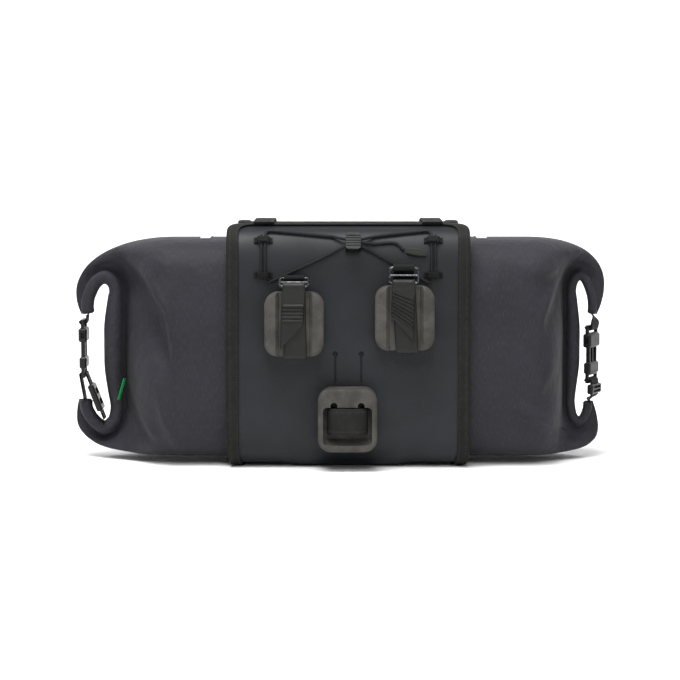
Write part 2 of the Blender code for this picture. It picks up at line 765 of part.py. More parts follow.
def bend(centre, radius, start, end, steps):
    """Points of an arc, in degrees."""
    return [(centre[0] + radius * math.cos(math.radians(a)), centre[1] + radius * math.sin(math.radians(a)))
            for a in np.linspace(start, end, steps)]


def strap_bar(top_z):
    """Where the bar lies that a handlebar strap is folded over: Y and Z."""
    back_y = BLOCK_FACE + CHANNEL_DEPTH - STRAP_WALL / 2 - 2 * TOUCH
    turn = STRAP_WALL / 2 + TOUCH + LOOP_BAR_RADIUS
    return back_y - turn, top_z - turn - STRAP_WALL / 2


def handlebar_strap(name, centre, top_z, end_z, shifts, ribs_from, slants):
    """A rubber strap: under its block, up the channel, over the loop's bar and back down, with ribs.

    shifts are its offsets in X from the block's middle, at its anchored end, its top and its free
    end. ribs_from is how far below the bar its ribs start. slants say how far down its right edge
    is slid at the first rib, the last rib and the free end.
    """
    bottom = centre[1] - BLOCK_HALF_HEIGHT - STRAP_WALL / 2 - 2 * TOUCH
    bar_y, bar_z = strap_bar(top_z)
    turn = STRAP_WALL / 2 + TOUCH + LOOP_BAR_RADIUS
    back_y = bar_y + turn
    settle = back_y - STRAP_WALL - STRAP_RIB_HEIGHT / 2 - 2 * TOUCH
    rise = [(BACK_PLANE - 0.0010, bottom), (back_y + STRAP_TURN, bottom)]
    rise += bend((back_y + STRAP_TURN, bottom + STRAP_TURN), STRAP_TURN, 270, 180, 4)[1:]
    fall = bend((bar_y, bar_z), turn, 0, 180, 7)
    fall += [(bar_y - turn, bar_z - 0.0025), (settle, bar_z - 0.0150)]
    sections = [(y, z, 0.0, 0.0) for y, z in [*rise, *fall]]
    ribs_top = bar_z - ribs_from
    ribs_bottom = end_z + max(abs(slants[2] - slants[1]), 0.0020) + 0.0010
    count = int((ribs_top - ribs_bottom) / STRAP_RIB_PITCH)
    for k in range(count):
        for step, raised in ((0.0, 0.0), (0.25, 1.0), (0.55, 1.0), (0.80, 0.0)):
            slant = slants[0] + (slants[1] - slants[0]) * (k + step) / count
            z = ribs_top - (k + step) * STRAP_RIB_PITCH
            rib = STRAP_RIB_HEIGHT * raised
            ahead = float(np.interp(-z, [-bar_z + 0.0025, -bar_z + 0.0150], [bar_y - turn, settle]))
            sections.append((ahead, z, rib, slant))
    sections.append((settle, end_z, 0.0, slants[2]))
    first = sections[:len(rise) + len(fall)]
    if ribs_from < 0.0150:
        first = first[:-1]
    sections = first + sections[len(rise) + len(fall):]
    points, widths, ribs = [], [], []
    for k, (y, z, rib, slant) in enumerate(sections):
        if k < len(rise) + 3:
            offset = np.interp(z, [bottom, bar_z], shifts[:2])
        else:
            offset = np.interp(-z, [-bar_z, -end_z], shifts[1:])
        points.append((centre[0] + offset, y, z))
        widths.append((STRAP_WIDTH / 2, 0.0, -slant))
        ribs.append(rib)
    return band(name, points, widths, STRAP_WALL, rubber(), ribs)


def tube(path, radius, sides=6, closed=False):
    """A bmesh tube along a path of points, with turned rings."""
    path = np.asarray(path, float)
    if closed:
        along = np.roll(path, -1, axis=0) - np.roll(path, 1, axis=0)
    else:
        along = np.gradient(path, axis=0)
    along /= np.linalg.norm(along, axis=1)[:, None]
    out = np.cross(along[0], (0.31, 0.17, 0.93))
    rings = []
    for point, ahead in zip(path, along):
        out = out - ahead * np.dot(out, ahead)
        out /= np.linalg.norm(out)
        other = np.cross(ahead, out)
        angles = np.linspace(0, 2 * math.pi, sides, endpoint=False)
        rings.append([point + radius * (out * math.cos(a) + other * math.sin(a)) for a in angles])
    return skin(rings, closed)


def join(obj, other):
    """Fuses another solid into one and hides it."""
    union = obj.modifiers.new("join", "BOOLEAN")
    union.operation = "UNION"
    union.object = other
    hide(other)
    return obj


def strap_loop(name, x, top_z, tilt):
    """The metal loop that a handlebar strap is folded over, with a bar across its middle.

    Returns where its rear bar lies: Y and Z.
    """
    front_y, front_z = strap_bar(top_z)
    into, up = math.sin(math.radians(tilt)), math.cos(math.radians(tilt))
    outline = rounded_rectangle(LOOP_HALF_WIDTH, LOOP_HEIGHT / 2, LOOP_CORNER, steps=1)
    ring = [(x + across, front_y + into * (high + LOOP_HEIGHT / 2), front_z + up * (high + LOOP_HEIGHT / 2))
            for across, high in outline]
    loop = add_object(name, tube(ring, LOOP_BAR_RADIUS, 6, closed=True), steel())
    middle = (front_y + into * LOOP_HEIGHT / 2, front_z + up * LOOP_HEIGHT / 2)
    bar = tube([(x - LOOP_HALF_WIDTH, *middle), (x + LOOP_HALF_WIDTH, *middle)], LOOP_BAR_RADIUS * 0.8, 6)
    join(loop, add_object(f"{name}_bar", bar, steel()))
    return front_y + into * LOOP_HEIGHT, front_z + up * LOOP_HEIGHT


def loop_tab(name, x, bar, block_top):
    """The webbing that holds a strap loop: up the harness, out to the loop's rear bar and round it."""
    flat_y = BACK_PLANE - TOUCH - WEBBING_WALL / 2
    turn = LOOP_BAR_RADIUS + TOUCH + WEBBING_WALL / 2
    path = [(flat_y, block_top + 0.0008), (flat_y, block_top + 0.0040), (flat_y - 0.0008, block_top + 0.0054)]
    reach_y, reach_z = bar[0] - path[-1][0], bar[1] - path[-1][1]
    meets = math.degrees(math.atan2(reach_z, reach_y) + math.acos(turn / math.hypot(reach_y, reach_z))) - 180
    path += bend(bar, turn, meets, 250, 7)
    widths = [(LOOP_TAB_HALF_WIDTH, 0.0, 0.0)] * len(path)
    return band(name, [(x, y, z) for y, z in path], widths, WEBBING_WALL, webbing())


def head_tube_strap():
    """The strap through the lower block: out of one slit, round in the window and back in."""
    floor = BLOCK_FACE + WINDOW_DEPTH
    middle_z = LOWER_BLOCK[1] + WINDOW_TOP - TOUCH - 0.0006 - TUBE_STRAP_WIDTH / 2
    half = [(FLOOR_SLIT_X, BACK_PLANE - 0.0010), (FLOOR_SLIT_X, floor), (0.0150, floor - 0.0025),
            (0.0172, floor - 0.0055), (0.0168, floor - 0.0090), (0.0130, floor - 0.0122),
            (0.0075, floor - 0.0140), (0.0, floor - 0.0146)]
    path = [(LOWER_BLOCK[0] - x, y, middle_z) for x, y in half]
    path += [(LOWER_BLOCK[0] + x, y, middle_z) for x, y in half[-2::-1]]
    return band("head_tube_strap", path, [(0, 0, TUBE_STRAP_WIDTH / 2)] * len(path), TUBE_STRAP_WALL,
                webbing())


def facet_share(height):
    """The share on the back at this height, kept clear of the corners of its facet."""
    share = BODY.share_at(height)
    k = int(np.searchsorted(BODY.shares, share, side="right")) - 1
    low, high = BODY.shares[k], BODY.shares[k + 1]
    margin = min((high - low) / 2, (GUIDE_WIDTH / 2 + 0.0008) / BODY.length)
    return float(np.clip(share, low + margin, high - margin))


def facet_height(height):
    """The height that facet_share settles on."""
    return BODY.point(0.0, facet_share(height), 0.0)[2]


def on_facet(x, share, across, along, lift):
    """A point on the facet at this share: across in X, along down the girth, lifted straight off it."""
    k = int(np.searchsorted(BODY.shares, share, side="right")) - 1
    a = np.array([BODY.y[k], BODY.z[k]])
    b = np.array([BODY.y[k + 1], BODY.z[k + 1]])
    down = (b - a) / np.linalg.norm(b - a)
    out = np.array([down[1], -down[0]])
    here = a + (b - a) * (share - BODY.shares[k]) / (BODY.shares[k + 1] - BODY.shares[k])
    spot = here + down * along + out * lift
    return (x + across, float(spot[0]), float(BODY.centre_z + spot[1]))


def cord_guide(name, x, height):
    """A webbing loop sewn down at both sides, with a tunnel for two strands of cord."""
    share = facet_share(height)
    low = HARNESS_LIFT + TOUCH + WEBBING_WALL / 2
    high = HARNESS_LIFT + 2 * TOUCH + 2 * CORD_RADIUS + 0.0004 + WEBBING_WALL / 2
    half = [(GUIDE_HALF_LENGTH, low), (GUIDE_TUNNEL + 0.0016, low), (GUIDE_TUNNEL + 0.0008, high - 0.0006),
            (GUIDE_TUNNEL - 0.0006, high)]
    line = [(-a, b) for a, b in half] + half[::-1]
    points = [on_facet(x, share, across, 0.0, lift) for across, lift in line]
    edge = np.subtract(on_facet(x, share, 0.0, GUIDE_WIDTH / 2, low), on_facet(x, share, 0.0, 0.0, low))
    return band(name, points, [edge] * len(points), WEBBING_WALL, webbing())


CORD_LIFT = HARNESS_LIFT + TOUCH + 0.0002 + CORD_RADIUS


def on_surface(stops):
    """A route over the harness through its stops, following every facet that it crosses.

    A stop holds X, the height, and how far the cord is raised off its usual lift there.
    """
    placed = [(x, BODY.share_at(z), rise) for x, z, rise in stops]
    points = []
    for (xa, a, ra), (xb, b, rb) in zip(placed, placed[1:]):
        inside = BODY.corners_between(min(a, b), max(a, b))[1:-1]
        for share in [a, *(inside if a < b else inside[::-1])]:
            part_way = 0.0 if b == a else (share - a) / (b - a)
            points.append(BODY.point(xa + (xb - xa) * part_way, share,
                                     CORD_LIFT + ra + (rb - ra) * part_way))
    points.append(BODY.point(placed[-1][0], placed[-1][1], CORD_LIFT + placed[-1][2]))
    return points


def lock_frame():
    """Where the cord lock stands on the bag, and its directions across, up the panel and out."""
    share = BODY.share_at(LOCK_Z)
    origin = np.array(BODY.point(LOCK_X, share, 0.0))
    outward = np.array(BODY.point(LOCK_X, share, 1.0)) - origin
    outward /= np.linalg.norm(outward)
    return origin, np.array([np.array((1.0, 0.0, 0.0)), np.cross(outward, (1.0, 0.0, 0.0)), outward])


def in_lock(*places):
    """Points on the cords' plane through the lock, from places across and up the panel."""
    origin, axes = lock_frame()
    return [origin + axes[0] * a + axes[1] * b + axes[2] * (CORD_LIFT + LOCK_CORD_RISE) for a, b in places]


def guide_turn(side, height, sign):
    """Stops where the cord turns from its vertical strand towards the middle, beyond one guide."""
    x, z = side * (GUIDE_X - STRAND_GAP / 2), facet_height(height)
    return [(x, z + sign * 0.0040, 0.0), (x - side * 0.0010, z + sign * 0.0060, 0.0),
            (x - side * 0.0034, z + sign * 0.0066, 0.0)]


def bungee_cord():
    """The elastic cord: out of the lock, round the left guides, through the lock, round the right ones."""
    inside, near, far = 0.0020, LOCK_HALF_LENGTH + 0.0010, LOCK_HALF_LENGTH + 0.0120
    low, high = LOCK_Z - LOCK_STRAND - 0.0040, LOCK_Z + LOCK_STRAND + 0.0020
    left = [(LOCK_X - far, low, 0.0), *guide_turn(-1, LOWER_GUIDE_Z, -1)[::-1],
            *guide_turn(-1, UPPER_GUIDE_Z, 1), (LOCK_X - far, high, 0.0)]
    right = [(LOCK_X + far, high, 0.0), *guide_turn(1, UPPER_GUIDE_Z, 1)[::-1],
             *guide_turn(1, LOWER_GUIDE_Z, -1), (LOCK_X + far, low, 0.0)]
    route = [*in_lock((-inside, -LOCK_STRAND), (-near, -LOCK_STRAND)), *on_surface(left),
             *in_lock((-near, LOCK_STRAND), (near, LOCK_STRAND)), *on_surface(right),
             *in_lock((near, -LOCK_STRAND), (inside, -LOCK_STRAND))]
    return add_object("bungee_cord", tube(route, CORD_RADIUS, 6), elastic())


def hanger_cord(name, side):
    """The second strand beside the bungee cord, from guide to guide."""
    x = side * (GUIDE_X + STRAND_GAP / 2)
    stops = [(x, facet_height(UPPER_GUIDE_Z) + 0.0036, 0.0), (x, facet_height(LOWER_GUIDE_Z) - 0.0036, 0.0)]
    return add_object(name, tube(on_surface(stops), CORD_RADIUS, 6), elastic())


def frame_box(name, origin, axes, low, high, look):
    """A block in a turned frame: axes are three unit vectors."""
    corners = [(low[0], low[1]), (high[0], low[1]), (high[0], high[1]), (low[0], high[1])]
    axes = np.asarray(axes)
    rings = [[np.asarray(origin) + axes[0] * a + axes[1] * b + axes[2] * c for a, b in corners]
             for c in (low[2], high[2])]
    return loft(name, rings, look)


def cord_lock():
    """A plain cord lock on the panel, with one wide hole along X for the cords."""
    origin, axes = lock_frame()
    base = HARNESS_LIFT + LOCK_STAND
    body = frame_box("cord_lock", origin, axes, (-LOCK_HALF_LENGTH, -LOCK_HALF_HEIGHT, base),
                     (LOCK_HALF_LENGTH, LOCK_HALF_HEIGHT, base + LOCK_DEPTH), plastic())
    bevelled(body, 0.0018)
    hole_low = CORD_LIFT + LOCK_CORD_RISE - CORD_RADIUS - LOCK_CLEARANCE
    hole_high = CORD_LIFT + LOCK_CORD_RISE + CORD_RADIUS + LOCK_CLEARANCE
    hole = frame_box("lock_hole", origin, axes,
                     (-LOCK_HALF_LENGTH - 0.01, -LOCK_STRAND - CORD_RADIUS - LOCK_CLEARANCE, hole_low),
                     (LOCK_HALF_LENGTH + 0.01, LOCK_STRAND + CORD_RADIUS + LOCK_CLEARANCE, hole_high),
                     plastic())
    return cut(body, hole)


def closing_strap(name, side):
    """A webbing strap that holds the harness shut: under the bottom, up the front and over the top."""
    x = side * GUIDE_X
    start, end = CLOSING_STRAP_START, 1 + girth_share(HARNESS_BACK_EDGE + BINDING_WIDTH + 0.0010)
    low = HARNESS_LIFT + TOUCH
    over = HARNESS_LIFT + BINDING_STAND + BINDING_WALL + TOUCH
    rings = []
    for share in BODY.corners_between(start, end):
        distance = girth_distance(share)
        lift = low + (over - low) * float(smooth_step(distance, BODY.length * 0.90, BODY.length * 0.97))
        rings.append([BODY.point(x + a * CLOSING_WIDTH / 2, share, lift + b) for a, b in
                      ((-1, 0.0), (1, 0.0), (1, CLOSING_WALL), (-1, CLOSING_WALL))])
    return loft(name, rings, webbing())


def closing_buckle(name, side):
    """A plain buckle on the front of a closing strap."""
    share = 1 - facet_share(CLOSING_BUCKLE_Z)
    k = int(np.searchsorted(BODY.shares, share, side="right")) - 1
    a = np.array([BODY.y[k], BODY.z[k]])
    b = np.array([BODY.y[k + 1], BODY.z[k + 1]])
    up = (b - a) / np.linalg.norm(b - a)
    middle = (a + b) / 2
    origin = (side * GUIDE_X, middle[0], BODY.centre_z + middle[1])
    axes = ((1.0, 0.0, 0.0), (0.0, up[0], up[1]), (0.0, up[1], -up[0]))
    base = HARNESS_LIFT + 2 * TOUCH + CLOSING_WALL + 0.0004
    body = frame_box(name, origin, axes, (-0.0125, -0.0165, base), (0.0125, 0.0165, base + 0.0060), plastic())
    return bevelled(body, 0.0022)


def patch(name, x):
    """A strip on top of the bag."""
    start, end = END.share_of(END.length - PATCH_FRONT_REACH) - 1, END.share_of(PATCH_BACK_REACH)
    rings = []
    for share in END.corners_between(start, end):
        rings.append([END.point(x + a * PATCH_WIDTH / 2, share, b) for a, b in
                      ((-1, TOUCH), (1, TOUCH), (1, TOUCH + PATCH_WALL), (-1, TOUCH + PATCH_WALL))])
    return loft(name, rings, material("reflective_strip", (0.75, 0.76, 0.77), 0.4))


def seam_tab():
    """A short green tab beside the left roll."""
    middle_z = SEAM_TAB_Z
    spot = LEFT_SPINE.where(middle_z - END.centre_z)
    centre = np.array([spot[0], -LEFT_ROLL_RADIUS, middle_z])
    angle = math.radians(SEAM_TAB_ANGLE)
    wound_in = ROLL_PITCH * SEAM_TAB_WOUND
    radius = LEFT_ROLL_RADIUS - wound_in + FABRIC_WALL + MOUTH_HALF_GAP + TOUCH
    centre = centre + np.array([-LEFT_ROLL_RADIUS, 0.0, 0.0])
    outward = np.array([math.cos(angle), math.sin(angle), 0.0])
    lean = math.radians(SEAM_TAB_LEAN)
    up = np.array([math.sin(lean), 0.0, math.cos(lean)])
    across = np.cross(up, outward)
    body = frame_box("seam_tab_green", centre, (across, up, outward),
                     (-0.0016, -0.0105, radius), (0.0016, 0.0105, radius + 0.0010),
                     material("green_tape", (0.05, 0.45, 0.18), 0.6))
    return body


class Buckle:
    """Frame of one end's side-release buckle: across its width, down its length, through its thickness."""

    def __init__(self, origin, turn, outer, upper_side):
        angle = math.radians(turn)
        self.origin = np.array(origin)
        self.across = np.array([math.cos(angle), math.sin(angle), 0.0])
        self.down = np.array([0.0, 0.0, -1.0])
        self.through = np.cross(self.down, self.across)
        self.outer = outer
        self.upper_side = upper_side

    def at(self, across, down, through):
        """A point in the buckle's frame."""
        return self.origin + self.across * across + self.down * down + self.through * through

    def block(self, name, low, high):
        """A block between two corners (across, down, through)."""
        return frame_box(name, self.origin, (self.across, self.down, self.through), low, high, plastic())

    def wrap(self, bar_down, sign, side):
        """Webbing round a bar: it comes in on one side and goes round below (1) or above (-1) the bar."""
        return [self.at(0, bar_down + sign * BUCKLE_WRAP * math.sin(a), side * BUCKLE_WRAP * math.cos(a))
                for a in np.linspace(0, math.pi, 6)]


LEFT_BUCKLE = Buckle(LEFT_BUCKLE_TOP, 90, -1, 1)
RIGHT_BUCKLE = Buckle(RIGHT_BUCKLE_TOP, 65, 1, 1)


def buckle_female(name, frame):
    """The upper half: a bar for its webbing, and a mouth that the prongs go into."""
    half = BUCKLE_WIDTH / 2
    body = frame.block(name, (-half, 0.0080, -BUCKLE_DEPTH / 2), (half, BUCKLE_MOUTH, BUCKLE_DEPTH / 2))
    bevelled(body, 0.0014)
    join(body, frame.block(f"{name}_head", (-half + 0.0004, 0.0, -BAR_HALF_DEPTH),
                           (half - 0.0004, 0.0095, BAR_HALF_DEPTH)))
    slot = WEBBING_WIDTH / 2 + 0.0007
    cut(body, frame.block(f"{name}_slot", (-slot, BAR_LENGTH, -0.006), (slot, BAR_LENGTH + 0.0044, 0.006)))
    cut(body, frame.block(f"{name}_mouth", (-0.0105, 0.0110, -0.0025), (0.0105, BUCKLE_MOUTH + 0.002, 0.0025)))
    cut(body, frame.block(f"{name}_sides", (-0.016, 0.0125, -0.0018), (0.016, 0.0175, 0.0018)))
    return body


def buckle_male(name, frame):
    """The lower half: three prongs, a body and a bar for its webbing."""
    half = BUCKLE_WIDTH / 2 - 0.0008
    body = frame.block(name, (-half, MALE_TOP, -0.0034), (half, MALE_TOP + 0.0110, 0.0034))
    bevelled(body, 0.0014)
    join(body, frame.block(f"{name}_tail", (-half + 0.0004, MALE_TOP + 0.0095, -BAR_HALF_DEPTH),
                           (half - 0.0004, MALE_TOP + MALE_LENGTH, BAR_HALF_DEPTH)))
    for side in (-1, 1):
        inner, outer = sorted((side * 0.0076, side * 0.0098))
        join(body, frame.block(f"{name}_prong_{side}", (inner, 0.0135, -0.0019), (outer, MALE_TOP + 0.002, 0.0019)))
    join(body, frame.block(f"{name}_tongue", (-0.0016, 0.0150, -0.0015), (0.0016, MALE_TOP + 0.002, 0.0015)))
    slot = WEBBING_WIDTH / 2 + 0.0007
    bar = MALE_TOP + MALE_LENGTH - BAR_LENGTH
    cut(body, frame.block(f"{name}_slot", (-slot, bar - 0.0044, -0.006), (slot, bar, 0.006)))
    return body


def arm_tip(spine, upper, *beyond):
    """Points in the middle of a rolled arm's end, this far beyond it."""
    sign = 1 if upper else -1
    radius = (LEFT_ROLL_RADIUS if spine is LEFT_SPINE else RIGHT_ROLL_RADIUS) * (1 - ARM_SHRINK)
    length = spine.upper_length if upper else spine.lower_length
    spot, up, inward = spine.frame(np.array([sign * length]))
    flats = [spot[0] + inward[0] * radius + up[0] * sign * far for far in beyond]
    return [np.array([flat[0], -radius, flat[1]]) for flat in flats]


def webbing_upper(name, spine, frame):
    """Webbing out of the upper arm's end and round the upper buckle's bar."""
    path = arm_tip(spine, True, ARM_STAND, ARM_STAND + 0.0014)
    wrap = frame.wrap(BAR_LENGTH / 2, 1, frame.upper_side)
    if frame.across[0] > 0.1:
        path, wrap = path[:1], [frame.at(0, -0.0030, frame.upper_side * BUCKLE_WRAP), *wrap]
    half = WEBBING_WIDTH / 2
    widths = [np.array([0.0, half, 0.0])] * len(path) + [frame.across * half] * len(wrap)
    return band(name, path + wrap, widths, WEBBING_WALL, webbing())


def webbing_lower(name, spine, frame, leg_end):
    """Webbing out of the lower arm's end and round the lower bar, on to leg_end if there is one."""
    path = arm_tip(spine, False, ARM_STAND, ARM_STAND + 0.0014)
    wrap = frame.wrap(MALE_TOP + MALE_LENGTH - BAR_LENGTH / 2, -1, frame.outer)
    half = WEBBING_WIDTH / 2
    widths = [np.array([0.0, half, 0.0])] * len(path)
    if leg_end is None:
        wrap = [frame.at(0, MALE_TOP + MALE_LENGTH + 0.0112, frame.outer * BUCKLE_WRAP), *wrap]
    else:
        wrap = [*wrap, np.array(leg_end)]
    widths += [frame.across * half] * len(wrap)
    return band(name, path + wrap, widths, WEBBING_WALL, webbing())


def adjuster(name, start, end, across, middle, half_length):
    """A plain slider on a leg of webbing: a sleeve with a window across its face."""
    start, end = np.array(start), np.array(end)
    along = (end - start) / np.linalg.norm(end - start)
    through = np.cross(along, across)
    origin = start + (end - start) * middle
    axes = (np.array(across), along, through)
    half = WEBBING_WIDTH / 2
    body = frame_box(name, origin, axes, (-half - 0.0030, -half_length, -0.0029),
                     (half + 0.0030, half_length, 0.0029), plastic())
    bevelled(body, 0.0012)
    gap = WEBBING_WALL / 2 + 0.0005
    cut(body, frame_box(f"{name}_channel", origin, axes, (-half - 0.0006, -half_length - 0.002, -gap),
                        (half + 0.0006, half_length + 0.002, gap), plastic()))
    for side in (-1, 1):
        low, high = sorted((side * half_length * 0.18, side * half_length * 0.62))
        cut(body, frame_box(f"{name}_window_{side}", origin, axes, (-half + 0.001, low, -0.005),
                            (half - 0.001, high, 0.005), plastic()))
    return body


def cord_tail():
    """The bungee's free end, out of the lock and across the panel to the pull tab."""
    stops = [(LOCK_X + LOCK_HALF_LENGTH + 0.0120, LOCK_Z, 0.0004), (0.0420, LOCK_Z + 0.0006, 0.0), (TAB_X - 0.0022, TAB_Z + 0.0004, 0.0)]
    knots = in_lock((LOCK_HALF_LENGTH - 0.0030, 0.0), (LOCK_HALF_LENGTH + 0.0020, 0.0)) + on_surface(stops)
    curve = bpy.data.curves.new("cord_tail", "CURVE")
    curve.dimensions = "3D"
    curve.bevel_depth = CORD_RADIUS
    curve.bevel_resolution = 2
    curve.use_fill_caps = True
    points = spline(knots, 2)
    line = curve.splines.new("POLY")
    line.points.add(len(points) - 1)
    for point, place in zip(line.points, points):
        point.co = (*place, 1.0)
    curve.materials.append(elastic())
    obj = bpy.data.objects.new("cord_tail", curve)
    bpy.context.scene.collection.objects.link(obj)
    return obj


def pull_tab():
    """A small flat tab on the cord's free end, lying on the panel."""
    share = BODY.share_at(TAB_Z)
    origin = np.array(on_facet(TAB_X, share, 0.0, 0.0, 0.0))
    outward = np.array(on_facet(TAB_X, share, 0.0, 0.0, 1.0)) - origin
    lean = math.radians(TAB_LEAN)
    across = np.array([math.cos(lean), 0.0, 0.0]) + np.cross(outward, (1.0, 0.0, 0.0)) * math.sin(lean)
    base = HARNESS_LIFT + TOUCH + 0.0003
    body = frame_box("pull_tab", origin, (across, np.cross(outward, across), outward),
                     (0.0002, -TAB_HALF_HEIGHT, base), (TAB_LENGTH, TAB_HALF_HEIGHT, base + TAB_DEPTH), rubber())
    return bevelled(body, 0.0007)


def build():
    """Makes every piece of the object."""
    clear_scene()
    bag_shell()
    harness_wrap()
    edge_binding()
    upper_block("spacer_block_left", LEFT_BLOCK)
    upper_block("spacer_block_right", RIGHT_BLOCK)
    lower_block()
    handlebar_strap("handlebar_strap_left", LEFT_BLOCK, LEFT_STRAP_TOP, LEFT_STRAP_END,
                    (0.0010, 0.0, -0.0022), 0.0162, (0.0, 0.0, LEFT_STRAP_SLANT))
    handlebar_strap("handlebar_strap_right", RIGHT_BLOCK, RIGHT_STRAP_TOP, RIGHT_STRAP_END,
                    (0.0022, -0.0010, -0.0022), 0.0092, (0.0034, 0.0080, RIGHT_STRAP_SLANT))
    for label, block, shift, top, tilt in (("left", LEFT_BLOCK, 0.0, LEFT_STRAP_TOP, 62),
                                           ("right", RIGHT_BLOCK, -0.0010, RIGHT_STRAP_TOP, 8)):
        bar = strap_loop(f"strap_buckle_{label}", block[0] + shift, top, tilt)
        loop_tab(f"buckle_tab_{label}", block[0] + shift, bar, block[1] + BLOCK_HALF_HEIGHT)
    head_tube_strap()
    for label, side in (("left", -1), ("right", 1)):
        cord_guide(f"cord_guide_upper_{label}", side * GUIDE_X, UPPER_GUIDE_Z)
        cord_guide(f"cord_guide_lower_{label}", side * GUIDE_X, LOWER_GUIDE_Z)
        hanger_cord(f"hanger_cord_{label}", side)
        closing_strap(f"closing_strap_{label}", side)
        closing_buckle(f"closing_buckle_{label}", side)
    bungee_cord()
    cord_lock()
    cord_tail()
    pull_tab()
    for label, spine, frame in (("left", LEFT_SPINE, LEFT_BUCKLE), ("right", RIGHT_SPINE, RIGHT_BUCKLE)):
        buckle_female(f"buckle_female_{label}", frame)
        buckle_male(f"buckle_male_{label}", frame)
        webbing_upper(f"webbing_upper_{label}", spine, frame)
    webbing_lower("webbing_lower_left", LEFT_SPINE, LEFT_BUCKLE, LEFT_LEG_END)
    webbing_lower("webbing_lower_right", RIGHT_SPINE, RIGHT_BUCKLE, None)
    bar = MALE_TOP + MALE_LENGTH - BAR_LENGTH / 2
    adjuster("adjuster_left", LEFT_BUCKLE.at(0, bar, BUCKLE_WRAP), LEFT_LEG_END, LEFT_BUCKLE.across,
             0.50, 0.0130)
    adjuster("adjuster_right", RIGHT_BUCKLE.at(0, bar, BUCKLE_WRAP),
             RIGHT_BUCKLE.at(0, bar + 0.0150, BUCKLE_WRAP), RIGHT_BUCKLE.across, 0.48, 0.0046)
    patch("reflective_patch_left", PATCH_LEFT_X)
    patch("reflective_patch_right", PATCH_RIGHT_X)
    seam_tab()


build()
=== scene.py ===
"""The dressed look of a double-ended roll-top handlebar bag in its wrap-round harness, in metres.

The bag lies along X, its back looks along -Y and it rests on the floor at Z = 0.
"""

from __future__ import annotations

import logging
import math
from dataclasses import dataclass
from enum import Enum
from functools import cached_property
from typing import Any, Iterable, Sequence

import bmesh
import bpy
import numpy as np
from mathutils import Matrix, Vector


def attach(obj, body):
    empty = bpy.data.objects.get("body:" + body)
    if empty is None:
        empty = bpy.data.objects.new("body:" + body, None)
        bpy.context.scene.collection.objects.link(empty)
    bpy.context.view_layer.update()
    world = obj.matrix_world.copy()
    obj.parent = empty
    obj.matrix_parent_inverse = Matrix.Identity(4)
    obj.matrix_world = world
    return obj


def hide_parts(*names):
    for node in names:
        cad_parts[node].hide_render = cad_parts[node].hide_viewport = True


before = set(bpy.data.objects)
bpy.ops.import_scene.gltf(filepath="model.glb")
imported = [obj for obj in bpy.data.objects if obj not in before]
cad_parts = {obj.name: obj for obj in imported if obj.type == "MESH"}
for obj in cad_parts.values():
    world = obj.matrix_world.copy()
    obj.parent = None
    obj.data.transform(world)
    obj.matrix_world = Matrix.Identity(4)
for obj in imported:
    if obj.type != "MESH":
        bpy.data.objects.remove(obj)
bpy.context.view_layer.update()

Array = np.ndarray
log = logging.getLogger("handlebar_bag")

# Clearance between pieces that touch
TOUCH = 0.0003
CUT_PAST = 0.004

# What the bag is made from
FABRIC_WALL = 0.0010
HARNESS_WALL = 0.0025
WEBBING_WALL = 0.0015
WEBBING_WIDTH = 0.0200
CORD_RADIUS = 0.0014

# Half girth of the folded mouth's two layers
HALF_LAYER = FABRIC_WALL + 0.0004


class Slot(Enum):
    """Names of material slots for the finishes."""

    FABRIC = "bag_fabric"
    LAMINATE = "harness_laminate"
    TAPE = "binding_tape"
    FOAM = "spacer_foam"
    RUBBER = "strap_rubber"
    WEBBING = "webbing"
    PLASTIC = "buckle_plastic"
    METAL = "loop_metal"
    ELASTIC = "elastic_cord"
    REFLECTIVE = "reflective_strip"
    GREEN = "green_tape"


class End(Enum):
    """The two rolled ends of the bag. The value is the way that each one points along X."""

    LEFT = -1
    RIGHT = 1


def linear_colour(code: str) -> tuple[float, float, float, float]:
    """Turns an sRGB hex colour to linear light.

    Args:
        code: six hex digits.

    Returns:
        Red, green, blue and an alpha of one.
    """
    values = np.array([int(code[k:k + 2], 16) / 255 for k in (0, 2, 4)])
    linear = np.where(values <= 0.04045, values / 12.92, ((values + 0.055) / 1.055) ** 2.4)
    return (*linear.tolist(), 1.0)


def smooth_step(value: Array | float, low: float, high: float) -> Array:
    """0 below low and 1 above high, with 3s^2 - 2s^3 between.

    Args:
        value: where the ramp is read.
        low: where it starts to rise.
        high: where it reaches one.

    Returns:
        The ramp's height at each value.
    """
    share = np.clip((np.asarray(value, float) - low) / (high - low), 0.0, 1.0)
    return share * share * (3 - 2 * share)


def spline(knots: Iterable[Sequence[float]], steps: int) -> Array:
    """A Catmull-Rom curve: each span is the cubic through its two knots with chord tangents.

    Args:
        knots: the points that the curve passes through.
        steps: points on each span.

    Returns:
        The curve's points.
    """
    knots = np.asarray(list(knots), float)
    ends = np.vstack([2 * knots[0] - knots[1], knots, 2 * knots[-1] - knots[-2]])
    s = np.linspace(0, 1, steps, endpoint=False)[None, :, None]
    a, b, c, d = (ends[k:len(ends) - 3 + k, None, :] for k in range(4))
    rows = 0.5 * (2 * b + (c - a) * s + (2 * a - 5 * b + 4 * c - d) * s**2 + (3 * b - a - 3 * c + d) * s**3)
    return np.vstack([rows.reshape(-1, knots.shape[1]), knots[-1:]])


def resample(path: Array, step: float) -> Array:
    """Points at equal distances along a path.

    Args:
        path: the points of the path.
        step: the wanted distance between points.

    Returns:
        The new points, with both ends kept.
    """
    reach = np.concatenate([[0], np.cumsum(np.linalg.norm(np.diff(path, axis=0), axis=1))])
    wanted = np.linspace(0, reach[-1], max(3, int(round(reach[-1] / step)) + 1))
    return np.stack([np.interp(wanted, reach, path[:, k]) for k in range(path.shape[1])], -1)


